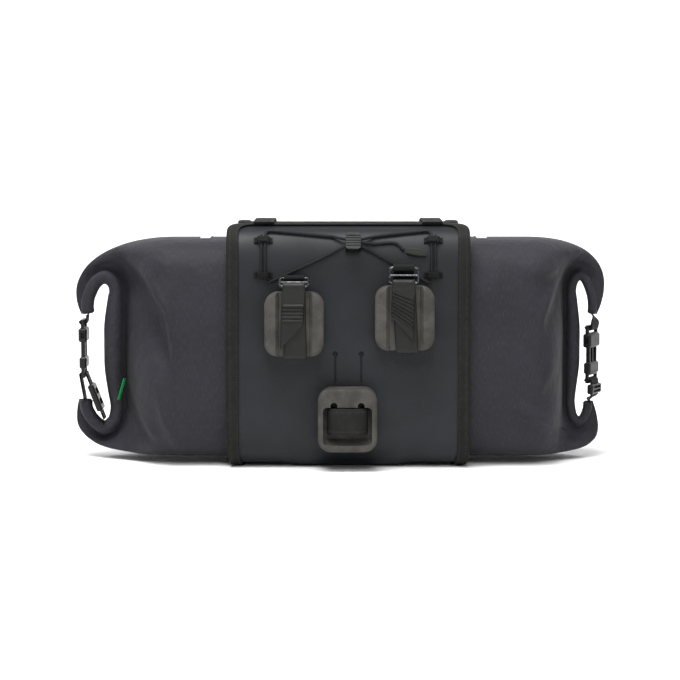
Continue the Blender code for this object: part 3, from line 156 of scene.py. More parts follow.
def unit(vectors: Array) -> Array:
    """Vectors of length one along the last axis."""
    return vectors / np.maximum(np.linalg.norm(vectors, axis=-1, keepdims=True), 1e-12)


def tangents(path: Array, closed: bool = False) -> Array:
    """Unit directions along a path, from each point's two neighbours.

    Args:
        path: the points of the path.
        closed: whether its last point joins its first.

    Returns:
        One direction for each point.
    """
    if closed:
        return unit(np.roll(path, -1, axis=0) - np.roll(path, 1, axis=0))
    return unit(np.gradient(path, axis=0))


def grid_surface(name: str, points: Array, *, uv: Array | None = None, wrap_rows: bool = False,
                 wrap_cols: bool = False, caps: bool = False) -> bpy.types.Object:
    """A mesh over a grid of points: quad (r, c) joins rows r, r + 1 and columns c, c + 1.

    Args:
        name: the piece's name.
        points: rows x columns x 3 places.
        uv: places on the cloth in metres, with one more row or column where the grid wraps.
        wrap_rows: whether the last row joins the first.
        wrap_cols: whether the last column joins the first.
        caps: whether the first and last rows are closed with a face each.

    Returns:
        The new object, shaded smooth.
    """
    rows, cols = points.shape[:2]
    r, c = np.meshgrid(np.arange(rows - (not wrap_rows)), np.arange(cols - (not wrap_cols)), indexing="ij")
    corner_rows = np.stack([r, r, r + 1, r + 1], -1).reshape(-1, 4)
    corner_cols = np.stack([c, c + 1, c + 1, c], -1).reshape(-1, 4)
    quads = (corner_rows % rows) * cols + corner_cols % cols
    faces = quads.tolist()
    corners_uv = None
    if uv is not None:
        corners_uv = uv[corner_rows, corner_cols].reshape(-1, 2)
    if caps:
        first, last = np.arange(cols), (rows - 1) * cols + np.arange(cols)
        faces += [first[::-1].tolist(), last.tolist()]
        if uv is not None:
            corners_uv = np.vstack([corners_uv, uv[0, :cols][::-1], uv[rows - 1, :cols]])
    mesh = bpy.data.meshes.new(name)
    mesh.from_pydata(points.reshape(-1, 3).tolist(), [], faces)
    if corners_uv is not None:
        layer = mesh.uv_layers.new(name="cloth")
        layer.data.foreach_set("uv", corners_uv.astype(np.float32).ravel())
    mesh.update()
    obj = bpy.data.objects.new(name, mesh)
    bpy.context.scene.collection.objects.link(obj)
    if caps or (wrap_rows and wrap_cols):
        face_outwards(obj)
    mesh.shade_smooth()
    return obj


def face_outwards(obj: bpy.types.Object) -> None:
    """Turns every face of a closed piece to look outwards."""
    shape = bmesh.new()
    shape.from_mesh(obj.data)
    bmesh.ops.recalc_face_normals(shape, faces=shape.faces)
    shape.to_mesh(obj.data)
    shape.free()


def crease(obj: bpy.types.Object, degrees: float = 40) -> bpy.types.Object:
    """Keeps edges sharper than this angle crisp on a smooth-shaded piece."""
    obj.data.shade_smooth()
    obj.data.set_sharp_from_angle(angle=math.radians(degrees))
    return obj


def round_edges(obj: bpy.types.Object, width: float, segments: int = 3,
                degrees: float = 35) -> bpy.types.Object:
    """Adds a live Bevel that rounds the sharp edges."""
    bevel = obj.modifiers.new("rounding", "BEVEL")
    bevel.width = width
    bevel.segments = segments
    bevel.limit_method = "ANGLE"
    bevel.angle_limit = math.radians(degrees)
    bevel.harden_normals = False
    return obj


def bake(obj: bpy.types.Object) -> bpy.types.Object:
    """Applies every modifier of a piece to its mesh."""
    graph = bpy.context.evaluated_depsgraph_get()
    made = bpy.data.meshes.new_from_object(obj.evaluated_get(graph), depsgraph=graph)
    old = obj.data
    obj.modifiers.clear()
    obj.data = made
    made.name = obj.name
    bpy.data.meshes.remove(old)
    return obj


def combine(obj: bpy.types.Object, other: bpy.types.Object, operation: str) -> bpy.types.Object:
    """Cuts or fuses one closed piece with another, which is used up.

    Args:
        obj: the piece that stays.
        other: the cutter or the added body.
        operation: DIFFERENCE or UNION.

    Returns:
        The piece that stays, with the result in its mesh.
    """
    step = obj.modifiers.new("solid", "BOOLEAN")
    step.operation = operation
    step.object = other
    step.solver = "EXACT"
    bake(obj)
    mesh = other.data
    bpy.data.objects.remove(other)
    bpy.data.meshes.remove(mesh)
    return obj


def join(obj: bpy.types.Object, *others: bpy.types.Object) -> bpy.types.Object:
    """Puts loose parts of one piece into one mesh, each still closed by itself."""
    shape = bmesh.new()
    for source in (obj, *others):
        shape.from_mesh(source.data)
    smooth = bpy.data.meshes.new(obj.name)
    shape.to_mesh(smooth)
    shape.free()
    for source in others:
        mesh = source.data
        bpy.data.objects.remove(source)
        bpy.data.meshes.remove(mesh)
    obj.data = smooth
    return obj


def rounded_rectangle(half_width: float, half_height: float, corner: float, steps: int = 8) -> Array:
    """Outline of a rectangle with round corners: each corner's centre plus its radius at the angle.

    Args:
        half_width: half of its width.
        half_height: half of its height.
        corner: the corners' radius.
        steps: spans on each corner.

    Returns:
        The outline's points, anticlockwise.
    """
    quarter = np.repeat(np.arange(4), steps + 1)
    angle = np.pi / 2 * (quarter + np.tile(np.arange(steps + 1) / steps, 4))
    sign_x = np.array([1, -1, -1, 1])[quarter]
    sign_y = np.array([1, 1, -1, -1])[quarter]
    return np.stack([sign_x * (half_width - corner) + corner * np.cos(angle),
                     sign_y * (half_height - corner) + corner * np.sin(angle)], -1)


def tube(name: str, path: Array, radius: float | Array, up: Array, *, sides: int = 14,
         closed: bool = False) -> bpy.types.Object:
    """A round rod along a path: each ring is its point plus the radius times (out cos a + other sin a).

    Args:
        name: the piece's name.
        path: the points that it follows.
        radius: one radius, or one for each point.
        up: a direction that never lies along the path, or one for each point.
        sides: points on each ring.
        closed: whether its ends join.

    Returns:
        The closed rod, with UV (round, along) in metres.
    """
    ahead = tangents(path, closed)
    up = np.broadcast_to(np.asarray(up, float), path.shape)
    out = unit(up - ahead * np.sum(ahead * up, -1, keepdims=True))
    other = np.cross(ahead, out)
    angle = np.linspace(0, 2 * np.pi, sides, endpoint=False)
    size = np.broadcast_to(np.asarray(radius, float), (len(path),))[:, None, None]
    ring = out[:, None] * np.cos(angle)[None, :, None] + other[:, None] * np.sin(angle)[None, :, None]
    points = path[:, None] + size * ring
    steps = np.linalg.norm(np.diff(path, axis=0, append=path[:1] if closed else path[-1:]), axis=1)
    along = np.concatenate([[0], np.cumsum(steps)])[:len(path) + closed]
    around = np.arange(sides + 1) / sides * 2 * np.pi * float(np.max(radius))
    uv = np.stack(np.broadcast_arrays(around[None], along[:, None]), -1)
    return grid_surface(name, points, uv=uv, wrap_rows=closed, wrap_cols=True, caps=not closed)


def strip_profile(tops: int, arcs: int) -> tuple[Array, Array, Array]:
    """The cross-section of a strap: a flat top and bottom joined by half-round edges.

    Args:
        tops: points across each flat.
        arcs: points on each edge between the flats.

    Returns:
        Share across, -1 to 1; how far past the flat in edge radii; height in half thicknesses.
    """
    flat = np.linspace(1, -1, tops)
    turn = np.linspace(0, np.pi, arcs + 2)[1:-1]
    across = np.concatenate([flat, -np.ones(arcs), flat[::-1], np.ones(arcs)])
    beyond = np.concatenate([np.zeros(tops), -np.sin(turn), np.zeros(tops), np.sin(turn)])
    height = np.concatenate([np.ones(tops), np.cos(turn), -np.ones(tops), -np.cos(turn)])
    return across, beyond, height


def ribbon(name: str, path: Array, half_widths: Array, wall: float, *, edge: float | None = None,
           relief: Array | None = None, tops: int = 9, arcs: int = 3) -> bpy.types.Object:
    """A strap along a path: point + width share x half width + height x half wall x normal.

    Args:
        name: the piece's name.
        path: the points of its middle line.
        half_widths: the vector from the middle to one edge at each point, which may slant.
        wall: its thickness.
        edge: radius of its long edges, half the wall if not given.
        relief: added height of the top side at each point of the path, or at each (point, top).
        tops: points across each flat.
        arcs: points on each edge.

    Returns:
        The closed strap, with UV (across, along) in metres.
    """
    ahead = tangents(path)
    half_widths = np.broadcast_to(half_widths, path.shape)
    normal = unit(np.cross(ahead, half_widths))
    edge = wall / 2 if edge is None else edge
    across, beyond, height = strip_profile(tops, arcs)
    size = np.linalg.norm(half_widths, axis=1)
    wide = half_widths * ((size - edge) / size)[:, None]
    points = (path[:, None] + wide[:, None] * across[None, :, None]
              + unit(half_widths)[:, None] * (beyond * edge)[None, :, None]
              + normal[:, None] * (height * wall / 2)[None, :, None])
    if relief is not None:
        relief = np.asarray(relief, float)
        relief = relief[:, None] if relief.ndim == 1 else relief
        points[:, :tops] += normal[:, None] * relief[..., None]
    along = np.concatenate([[0], np.cumsum(np.linalg.norm(np.diff(path, axis=0), axis=1))])
    crosswise = across * size.mean()
    crosswise = np.append(crosswise, crosswise[0])
    uv = np.stack(np.broadcast_arrays(crosswise[None], along[:, None]), -1)
    return crease(grid_surface(name, points, uv=uv, wrap_cols=True, caps=True), 50)


def turned_box(name: str, origin: Array, axes: Array, low: Sequence[float], high: Sequence[float],
               corner: float = 0.0) -> bpy.types.Object:
    """A block in a turned frame: the origin plus each axis times its size.

    Args:
        name: the piece's name.
        origin: where the frame stands.
        axes: three unit vectors.
        low: its lowest corner in the frame.
        high: its highest corner in the frame.
        corner: radius of its four edges along the third axis.

    Returns:
        The closed block.
    """
    middle, half = (np.add(low, high) / 2), (np.subtract(high, low) / 2)
    flat = rounded_rectangle(half[0], half[1], max(corner, 1e-5), 6 if corner else 1)
    if not corner:
        flat = np.array([(half[0], half[1]), (-half[0], half[1]), (-half[0], -half[1]), (half[0], -half[1])])
    levels = np.array([low[2], high[2]])
    places = np.concatenate([np.broadcast_to(flat + middle[:2], (2, len(flat), 2)),
                             np.broadcast_to(levels[:, None, None], (2, len(flat), 1))], -1)
    return grid_surface(name, np.asarray(origin) + places @ np.asarray(axes), wrap_cols=True, caps=True)


def settle(piece: bpy.types.Object, look: bpy.types.Material, slot: Slot, *nodes: str) -> bpy.types.Object:
    """Dresses a piece, lets it ride on the bag and says which CAD nodes it stands for.

    Args:
        piece: the finished piece.
        look: its material.
        slot: the slot that its finish belongs to; not used.
        nodes: names of the CAD nodes that it replaces.

    Returns:
        The piece.
    """
    piece.data.materials.clear()
    piece.data.materials.append(look)
    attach(piece, "root")
    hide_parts(*nodes)
    log.info("%s: %d faces, stands for %s", piece.name, len(piece.data.polygons), ", ".join(nodes))
    return piece


@dataclass(frozen=True)
class Section:
    """The bag's smooth outside at one section, as two half superellipses with a flat bottom."""

    half_height: float
    back: float
    front: float
    back_power: float
    front_power: float
    centre_z: float
    rises: bool
    flat_share: float = 0.985
    bottom_rise: float = 0.0024
    rise_start: float = 0.040
    rise_end: float = 0.062

    @cached_property
    def table(self) -> dict[str, Array]:
        """Share of the girth, place, outward normal and reach at dense points of the outline.

        The outline is sign(sin a) depth |sin a|^(2/power) across and
        sign(cos a) height |cos a|^(2/power) up, for a turn a down the back and up the front.
        """
        turn = np.linspace(0.0, 2 * np.pi, 4001)
        side, up = -np.sin(turn), np.cos(turn)
        behind = turn < np.pi
        power = np.where(behind, self.back_power, self.front_power)
        depth = np.where(behind, self.back, self.front)
        y = np.sign(side) * depth * np.abs(side) ** (2 / power)
        z = np.sign(up) * self.half_height * np.abs(up) ** (2 / power)
        z = np.maximum(z, -self.flat_share * self.half_height)
        steps = np.hypot(np.diff(y), np.diff(z))
        reach = np.concatenate([[0], np.cumsum(steps)])
        back_length = reach[2000]
        share = np.where(behind, 0.5 * reach / back_length,
                         0.5 + 0.5 * (reach - back_length) / (reach[-1] - back_length))
        even = np.linspace(0, 1, 2401)
        y, z, reach = (np.interp(even, share, values) for values in (y, z, reach))
        soft = np.hanning(41) / np.hanning(41).sum()
        slopes = [np.convolve(np.tile(np.diff(v), 3), soft, "same")[2400:4800] for v in (y, z)]
        slopes = [np.append(v, v[0]) for v in slopes]
        size = np.hypot(*slopes)
        return {"share": even, "y": y, "z": z, "reach": reach / reach[-1], "length": reach[-1],
                "out_y": slopes[1] / size, "out_z": -slopes[0] / size}

    @property
    def length(self) -> float:
        """The whole girth."""
        return float(self.table["length"])

    def point(self, x: Array | float, share: Array | float, lift: Array | float) -> Array:
        """Places on the bag: the outline at the share plus lift times its outward normal.

        Args:
            x: where along the bag.
            share: share of the girth from the top, down the back first.
            lift: how far off the fabric.

        Returns:
            Places with a last axis of three.
        """
        t = self.table
        x, share, lift = np.broadcast_arrays(*(np.asarray(v, float) for v in (x, share, lift)))
        share = share % 1.0
        y, z, out_y, out_z = (np.interp(share, t["share"], t[k]) for k in ("y", "z", "out_y", "out_z"))
        rise = np.zeros_like(x)
        if self.rises:
            low = smooth_step(-z / self.half_height, 0.60, 0.95)
            rise = self.bottom_rise * smooth_step(np.abs(x), self.rise_start, self.rise_end) * low
        return np.stack([x, y + lift * out_y, self.centre_z + z + lift * out_z + rise], -1)

    def normal(self, share: Array | float) -> Array:
        """Outward unit normals at these shares."""
        t = self.table
        share = np.asarray(share, float) % 1.0
        out_y, out_z = (np.interp(share, t["share"], t[k]) for k in ("out_y", "out_z"))
        return np.stack([np.zeros_like(out_y), out_y, out_z], -1)

    def share_at(self, height: Array | float) -> Array:
        """The share down the back at this height."""
        t = self.table
        back = t["share"] <= 0.5
        return np.interp(-np.asarray(height, float), -(self.centre_z + t["z"][back]), t["share"][back])

    def share_of(self, distance: Array | float) -> Array:
        """The share at this distance round from the top, past 1 where it goes round again."""
        turns = np.floor(np.asarray(distance, float) / self.length)
        part = np.asarray(distance, float) / self.length - turns
        return turns + np.interp(part, self.table["reach"], self.table["share"])


BODY = Section(0.1085, 0.080, 0.088, 7.0, 2.7, 0.985 * 0.1085 + TOUCH + HARNESS_WALL, True)
CLOSED = Section(0.1015, 0.076, 0.084, 4.2, 2.6, BODY.centre_z - 0.0035, False)
HARNESS_LIFT = TOUCH + HARNESS_WALL
BACK_PLANE = -(BODY.back + HARNESS_LIFT)
CORD_LIFT = HARNESS_LIFT + TOUCH + 0.0002 + CORD_RADIUS
GUIDE_X = 0.0770
UPPER_GUIDE_Z = 0.2058
LOWER_GUIDE_Z = 0.1764


def wrapped_band(name: str, section: Section, x: float, distances: Array, half_width: float,
                 lift: Array | float, wall: float) -> bpy.types.Object:
    """A band laid round the bag: section point at x + share x half width, lifted by its profile.

    Args:
        name: the piece's name.
        section: the section that it lies on.
        x: where its middle line lies along the bag.
        distances: its stations round the girth, from the top.
        half_width: half of its width.
        lift: height of its underside off the bag fabric, or one for each station.
        wall: its thickness.

    Returns:
        The closed band, with UV (across, along) in metres.
    """
    across, beyond, height = strip_profile(7, 3)
    places = (across * (half_width - wall / 2) + beyond * wall / 2)[None]
    lifts = np.broadcast_to(np.asarray(lift, float), distances.shape)[:, None]
    lifts = lifts + wall * (0.5 + height / 2)[None]
    points = section.point(x + places, section.share_of(distances)[:, None], lifts)
    crosswise = np.append(across, across[0]) * half_width
    uv = np.stack(np.broadcast_arrays(crosswise[None], distances[:, None]), -1)
    return crease(grid_surface(name, points, uv=uv, wrap_cols=True, caps=True), 50)


def add_node(tree: bpy.types.NodeTree, kind: str, inputs: dict[int | str, Any] | None = None,
             **settings: Any) -> bpy.types.Node:
    """Adds a node with its settings and links.

    Args:
        tree: the material's node tree.
        kind: the node's type.
        inputs: a value, a node or a socket for each named or numbered input.
        settings: the node's own properties.

    Returns:
        The new node.
    """
    made = tree.nodes.new(kind)
    for key, value in settings.items():
        setattr(made, key, value)
    for key, value in (inputs or {}).items():
        if isinstance(value, bpy.types.Node):
            value = value.outputs[0]
        if isinstance(value, bpy.types.NodeSocket):
            tree.links.new(value, made.inputs[key])
        else:
            made.inputs[key].default_value = value
    return made


def spaced(millimetres: float) -> float:
    """Noise scale whose features are about this many millimetres across."""
    return 1000.0 / millimetres


def wave_scale(millimetres: float) -> float:
    """Wave scale with one band in this many millimetres: a band is 2 pi / 20 long at scale one."""
    return 2 * math.pi / 20 / (millimetres / 1000)


@dataclass(frozen=True)
class Finish:
    """A surface finish: its name, its two colours and how rough it is."""

    name: str
    dark: str
    light: str
    roughness: float
    gloss: float = 0.20

    def material(self) -> bpy.types.Material:
        """The finish's material, made once."""
        found = bpy.data.materials.get(self.name)
        if found is not None:
            return found
        made = bpy.data.materials.new(self.name)
        made.use_nodes = True
        tree = made.node_tree
        shader = tree.nodes["Principled BSDF"]
        shader.inputs["Roughness"].default_value = self.roughness
        shader.inputs["Specular IOR Level"].default_value = self.gloss
        self.paint(tree, shader)
        return made

    def paint(self, tree: bpy.types.NodeTree, shader: bpy.types.Node) -> None:
        """Adds the finish's own nodes. Each kind of finish has its own."""
        raise NotImplementedError

    def tint(self, tree: bpy.types.NodeTree, amount: Any) -> bpy.types.Node:
        """A mix from the dark to the light colour."""
        return add_node(tree, "ShaderNodeMix", {0: amount, 6: linear_colour(self.dark),
                                                7: linear_colour(self.light)}, data_type="RGBA")

    def colour(self, tree: bpy.types.NodeTree, amount: Any) -> bpy.types.NodeSocket:
        """The colour output of the finish's tint."""
        return self.tint(tree, amount).outputs[2]


def noise(tree: bpy.types.NodeTree, place: Any, scale: float, detail: float = 3.0, low: float = 0.3,
          high: float = 0.7) -> bpy.types.Node:
    """Noise stretched so that low gives 0 and high gives 1."""
    made = add_node(tree, "ShaderNodeTexNoise", {"Vector": place, "Scale": scale, "Detail": detail,
                                                 "Roughness": 0.55})
    return add_node(tree, "ShaderNodeMapRange", {0: made, 1: low, 2: high, 3: 0.0, 4: 1.0})


def sum_of(tree: bpy.types.NodeTree, *parts: tuple[Any, float]) -> Any:
    """The sum of several outputs, each times its weight."""
    total: Any = 0.0
    for value, weight in parts:
        total = add_node(tree, "ShaderNodeMath", {0: value, 1: weight, 2: total}, operation="MULTIPLY_ADD")
    return total


def bump(tree: bpy.types.NodeTree, height: Any, distance: float, strength: float = 1.0,
         under: Any = None) -> bpy.types.Node:
    """A bump of this height in metres, on top of another."""
    inputs = {"Height": height, "Distance": distance, "Strength": strength}
    if under is not None:
        inputs["Normal"] = under
    return add_node(tree, "ShaderNodeBump", inputs)


@dataclass(frozen=True)
class CoatedPolyester(Finish):
    """Polyester cloth, woven and coated: charcoal, with slubs that run round the bag.

    The eye sees short pale flecks 1 mm wide and 3 to 6 mm long, and a low sheen where it is pulled tight.
    """

    fleck_width_mm: float = 0.9
    fleck_length_mm: float = 6.5
    # The real thread is 0.3 mm, drawn at 1.0 mm so that it shows
    thread_mm: float = 1.0

    def paint(self, tree: bpy.types.NodeTree, shader: bpy.types.Node) -> None:
        """Flecks and threads on the cloth's own UV, broad fading on Object coordinates."""
        coords = add_node(tree, "ShaderNodeTexCoord")
        flecks_at = add_node(tree, "ShaderNodeMapping", {
            "Vector": coords.outputs["UV"],
            "Scale": (spaced(self.fleck_width_mm), spaced(self.fleck_length_mm), 1.0)})
        flecks = noise(tree, flecks_at, 1.0, 2.0, 0.50, 0.78)
        fading = noise(tree, coords.outputs["Object"], spaced(60), 3.0, 0.3, 0.7)
        amount = sum_of(tree, (flecks, 0.60), (fading, 0.35))
        tree.links.new(self.colour(tree, amount), shader.inputs["Base Color"])
        threads = {"Vector": coords.outputs["UV"], "Scale": wave_scale(self.thread_mm), "Distortion": 0.4,
                   "Detail": 1.0}
        warp = add_node(tree, "ShaderNodeTexWave", threads, bands_direction="X")
        weft = add_node(tree, "ShaderNodeTexWave", threads, bands_direction="Y")
        weave = sum_of(tree, (warp, 0.5), (weft, 0.5), (flecks, 0.35))
        crumple = noise(tree, coords.outputs["Object"], spaced(24), 4.0, 0.25, 0.75)
        soft = bump(tree, crumple, 0.0022, 0.6)
        fine = bump(tree, weave, 0.00012, 0.55, soft)
        tree.links.new(fine.outputs[0], shader.inputs["Normal"])
        rough = add_node(tree, "ShaderNodeMapRange", {0: fading, 1: 0.0, 2: 1.0, 3: self.roughness - 0.06,
                                                      4: self.roughness + 0.06})
        tree.links.new(rough.outputs[0], shader.inputs["Roughness"])
        shader.inputs["Sheen Weight"].default_value = 0.03


@dataclass(frozen=True)
class StiffLaminate(Finish):
    """Cloth laminated to a stiff core and pressed flat: blue-black, with a fine even grain."""

    # The pressed grain is 0.5 mm, drawn at 1.2 mm so that it shows
    grain_mm: float = 1.2

    def paint(self, tree: bpy.types.NodeTree, shader: bpy.types.Node) -> None:
        """Pressed grain, and a slow change of tone where hands and straps rub."""
        coords = add_node(tree, "ShaderNodeTexCoord")
        place = coords.outputs["Object"]
        grain = noise(tree, place, spaced(self.grain_mm), 2.0, 0.3, 0.7)
        rubbed = noise(tree, place, spaced(70), 4.0, 0.35, 0.75)
        amount = sum_of(tree, (grain, 0.18), (rubbed, 0.55))
        tree.links.new(self.colour(tree, amount), shader.inputs["Base Color"])
        waves = noise(tree, place, spaced(38), 2.0, 0.2, 0.8)
        soft = bump(tree, waves, 0.0006, 0.5)
        fine = bump(tree, grain, 0.00008, 0.5, soft)
        tree.links.new(fine.outputs[0], shader.inputs["Normal"])
        rough = add_node(tree, "ShaderNodeMapRange", {0: rubbed, 1: 0.0, 2: 1.0, 3: self.roughness + 0.05,
                                                      4: self.roughness - 0.07})
        tree.links.new(rough.outputs[0], shader.inputs["Roughness"])


@dataclass(frozen=True)
class WovenTape(Finish):
    """Tape woven from thick yarn and dyed: ribs lie across it, and stitches run along it.

    The eye sees a ribbed dull band with rows of short stitches, a little lighter than the yarn.
    """

    rib_mm: float = 1.5
    # How far the stitch rows lie from the middle, or none where it is negative
    stitch_mm: float = 3.1
    stitch_length_mm: float = 3.2
    bump_mm: float = 0.14

    def paint(self, tree: bpy.types.NodeTree, shader: bpy.types.Node) -> None:
        """Ribs and stitches on the tape's UV: across it in U, along it in V."""
        coords = add_node(tree, "ShaderNodeTexCoord")
        ribs = add_node(tree, "ShaderNodeTexWave", {"Vector": coords.outputs["UV"],
                                                    "Scale": wave_scale(self.rib_mm), "Distortion": 0.5,
                                                    "Detail": 1.0, "Detail Scale": 2.0}, bands_direction="Y")
        yarn = add_node(tree, "ShaderNodeTexWave", {"Vector": coords.outputs["UV"],
                                                    "Scale": wave_scale(self.rib_mm * 1.3),
                                                    "Distortion": 0.6}, bands_direction="X")
        worn = noise(tree, coords.outputs["Object"], spaced(9), 4.0, 0.35, 0.75)
        amount = sum_of(tree, (ribs, 0.35), (worn, 0.35))
        height = sum_of(tree, (ribs, 0.75), (yarn, 0.25))
        if self.stitch_mm > 0:
            place = add_node(tree, "ShaderNodeSeparateXYZ", {0: coords.outputs["UV"]})
            off_middle = add_node(tree, "ShaderNodeMath", {0: place.outputs[0]}, operation="ABSOLUTE")
            off_row = add_node(tree, "ShaderNodeMath", {0: off_middle, 1: self.stitch_mm / 1000},
                               operation="SUBTRACT")
            off_row = add_node(tree, "ShaderNodeMath", {0: off_row}, operation="ABSOLUTE")
            row = add_node(tree, "ShaderNodeMapRange", {0: off_row, 1: 0.0003, 2: 0.0006, 3: 1.0, 4: 0.0})
            dash = add_node(tree, "ShaderNodeMath", {0: place.outputs[1], 1: self.stitch_length_mm / 1000},
                            operation="PINGPONG")
            dash = add_node(tree, "ShaderNodeMapRange", {0: dash, 1: 0.0005, 2: 0.0009, 3: 0.0, 4: 1.0})
            stitch = add_node(tree, "ShaderNodeMath", {0: row, 1: dash}, operation="MULTIPLY")
            amount = sum_of(tree, (amount, 1.0), (stitch, 0.7))
            height = sum_of(tree, (height, 1.0), (row, -1.2), (stitch, 2.0))
        tree.links.new(self.colour(tree, amount), shader.inputs["Base Color"])
        fine = bump(tree, height, self.bump_mm / 1000, 0.8)
        tree.links.new(fine.outputs[0], shader.inputs["Normal"])


@dataclass(frozen=True)
class MouldedFoam(Finish):
    """Closed-cell foam, moulded in a skin: matt taupe, speckled, with dusty edges."""

    # Cells are 0.4 mm, drawn at 1.3 mm so that they show
    cell_mm: float = 1.3

    def paint(self, tree: bpy.types.NodeTree, shader: bpy.types.Node) -> None:
        """Cells and speckles on Object coordinates."""
        coords = add_node(tree, "ShaderNodeTexCoord")
        place = coords.outputs["Object"]
        cells = add_node(tree, "ShaderNodeTexVoronoi", {"Vector": place, "Scale": spaced(self.cell_mm)})
        specks = noise(tree, place, spaced(0.9), 2.0, 0.55, 0.75)
        dusty = noise(tree, place, spaced(14), 4.0, 0.35, 0.7)
        amount = sum_of(tree, (specks, 0.35), (dusty, 0.55))
        tree.links.new(self.colour(tree, amount), shader.inputs["Base Color"])
        height = sum_of(tree, (cells.outputs["Distance"], -0.8), (specks, 0.3))
        fine = bump(tree, height, 0.00016, 0.6)
        tree.links.new(fine.outputs[0], shader.inputs["Normal"])


@dataclass(frozen=True)
class MouldedRubber(Finish):
    """Rubber moulded with ribs: dark olive, satin on the ridges where it is handled."""

    def paint(self, tree: bpy.types.NodeTree, shader: bpy.types.Node) -> None:
        """A fine moulded grain, with dust in the hollows and a satin on worn places."""
        coords = add_node(tree, "ShaderNodeTexCoord")
        place = coords.outputs["Object"]
        grain = noise(tree, place, spaced(0.8), 3.0, 0.3, 0.7)
        dusty = noise(tree, place, spaced(11), 4.0, 0.3, 0.7)
        amount = sum_of(tree, (grain, 0.25), (dusty, 0.5))
        tree.links.new(self.colour(tree, amount), shader.inputs["Base Color"])
        fine = bump(tree, grain, 0.00005, 0.6)
        tree.links.new(fine.outputs[0], shader.inputs["Normal"])
        rough = add_node(tree, "ShaderNodeMapRange", {0: dusty, 1: 0.0, 2: 1.0, 3: self.roughness - 0.08,
                                                      4: self.roughness + 0.08})
        tree.links.new(rough.outputs[0], shader.inputs["Roughness"])


@dataclass(frozen=True)
class MouldedAcetal(Finish):
    """Acetal, injection moulded with a spark-eroded texture: black, with a soft sheen and pale scuffs."""

    # The texture is 0.15 mm, drawn at 0.7 mm so that it shows
    texture_mm: float = 0.7

    def paint(self, tree: bpy.types.NodeTree, shader: bpy.types.Node) -> None:
        """Moulded texture and scuffs on Object coordinates."""
        coords = add_node(tree, "ShaderNodeTexCoord")
        place = coords.outputs["Object"]
        texture = noise(tree, place, spaced(self.texture_mm), 2.0, 0.3, 0.7)
        scuffs = noise(tree, place, spaced(6), 5.0, 0.52, 0.78)
        tree.links.new(self.colour(tree, sum_of(tree, (scuffs, 0.6), (texture, 0.12))),
                       shader.inputs["Base Color"])
        fine = bump(tree, texture, 0.00003, 0.6)
        tree.links.new(fine.outputs[0], shader.inputs["Normal"])
        rough = add_node(tree, "ShaderNodeMapRange", {0: scuffs, 1: 0.0, 2: 1.0, 3: self.roughness,
                                                      4: self.roughness + 0.2})
        tree.links.new(rough.outputs[0], shader.inputs["Roughness"])


@dataclass(frozen=True)
class DrawnSteel(Finish):
    """Steel wire, drawn, bent and plated: bright grey with fine marks of the die."""

    def paint(self, tree: bpy.types.NodeTree, shader: bpy.types.Node) -> None:
        """Dull and bright patches of the plating."""
        coords = add_node(tree, "ShaderNodeTexCoord")
        marks = noise(tree, coords.outputs["Object"], spaced(2.0), 4.0, 0.3, 0.75)
        tree.links.new(self.colour(tree, marks), shader.inputs["Base Color"])
        rough = add_node(tree, "ShaderNodeMapRange", {0: marks, 1: 0.0, 2: 1.0, 3: self.roughness - 0.08,
                                                      4: self.roughness + 0.14})
        tree.links.new(rough.outputs[0], shader.inputs["Roughness"])
        fine = bump(tree, marks, 0.00003, 0.4)
        tree.links.new(fine.outputs[0], shader.inputs["Normal"])
        shader.inputs["Metallic"].default_value = 1.0


@dataclass(frozen=True)
class BraidedElastic(Finish):
    """A braided polyester sleeve over rubber: black, with a slanting plait."""

    # The plait's stitch is 0.9 mm, drawn at 1.4 mm so that it shows
    plait_mm: float = 1.4

    def paint(self, tree: bpy.types.NodeTree, shader: bpy.types.Node) -> None:
        """Two slanting waves on the cord's UV, which cross as a plait does."""
        coords = add_node(tree, "ShaderNodeTexCoord")
        slants = []
        for angle in (-0.85, 0.85):
            turned = add_node(tree, "ShaderNodeMapping", {"Vector": coords.outputs["UV"],
                                                          "Rotation": (0, 0, angle)})
            slants.append(add_node(tree, "ShaderNodeTexWave", {"Vector": turned,
                                                               "Scale": wave_scale(self.plait_mm)},
                                   bands_direction="Y"))
        plait = add_node(tree, "ShaderNodeMath", {0: slants[0], 1: slants[1]}, operation="MAXIMUM")
        worn = noise(tree, coords.outputs["Object"], spaced(5), 3.0, 0.4, 0.7)
        tree.links.new(self.colour(tree, sum_of(tree, (plait, 0.5), (worn, 0.3))),
                       shader.inputs["Base Color"])
        fine = bump(tree, plait, 0.00022, 0.7)
        tree.links.new(fine.outputs[0], shader.inputs["Normal"])


@dataclass(frozen=True)
class ReflectiveFilm(Finish):
    """Glass-bead film welded to the cloth: silvery white, with a faint honeycomb of welded cells."""

    cell_mm: float = 2.2

    def paint(self, tree: bpy.types.NodeTree, shader: bpy.types.Node) -> None:
        """Cell borders and soil on Object coordinates."""
        coords = add_node(tree, "ShaderNodeTexCoord")
        cells = add_node(tree, "ShaderNodeTexVoronoi", {"Vector": coords.outputs["Object"],
                                                        "Scale": spaced(self.cell_mm)},
                         feature="DISTANCE_TO_EDGE")
        border = add_node(tree, "ShaderNodeMapRange", {0: cells, 1: 0.02, 2: 0.10, 3: 0.0, 4: 1.0})
        soil = noise(tree, coords.outputs["Object"], spaced(4), 4.0, 0.3, 0.6)
        amount = sum_of(tree, (border, 0.45), (soil, 0.55))
        tree.links.new(self.colour(tree, amount), shader.inputs["Base Color"])
        fine = bump(tree, border, 0.00004, 0.5)
        tree.links.new(fine.outputs[0], shader.inputs["Normal"])


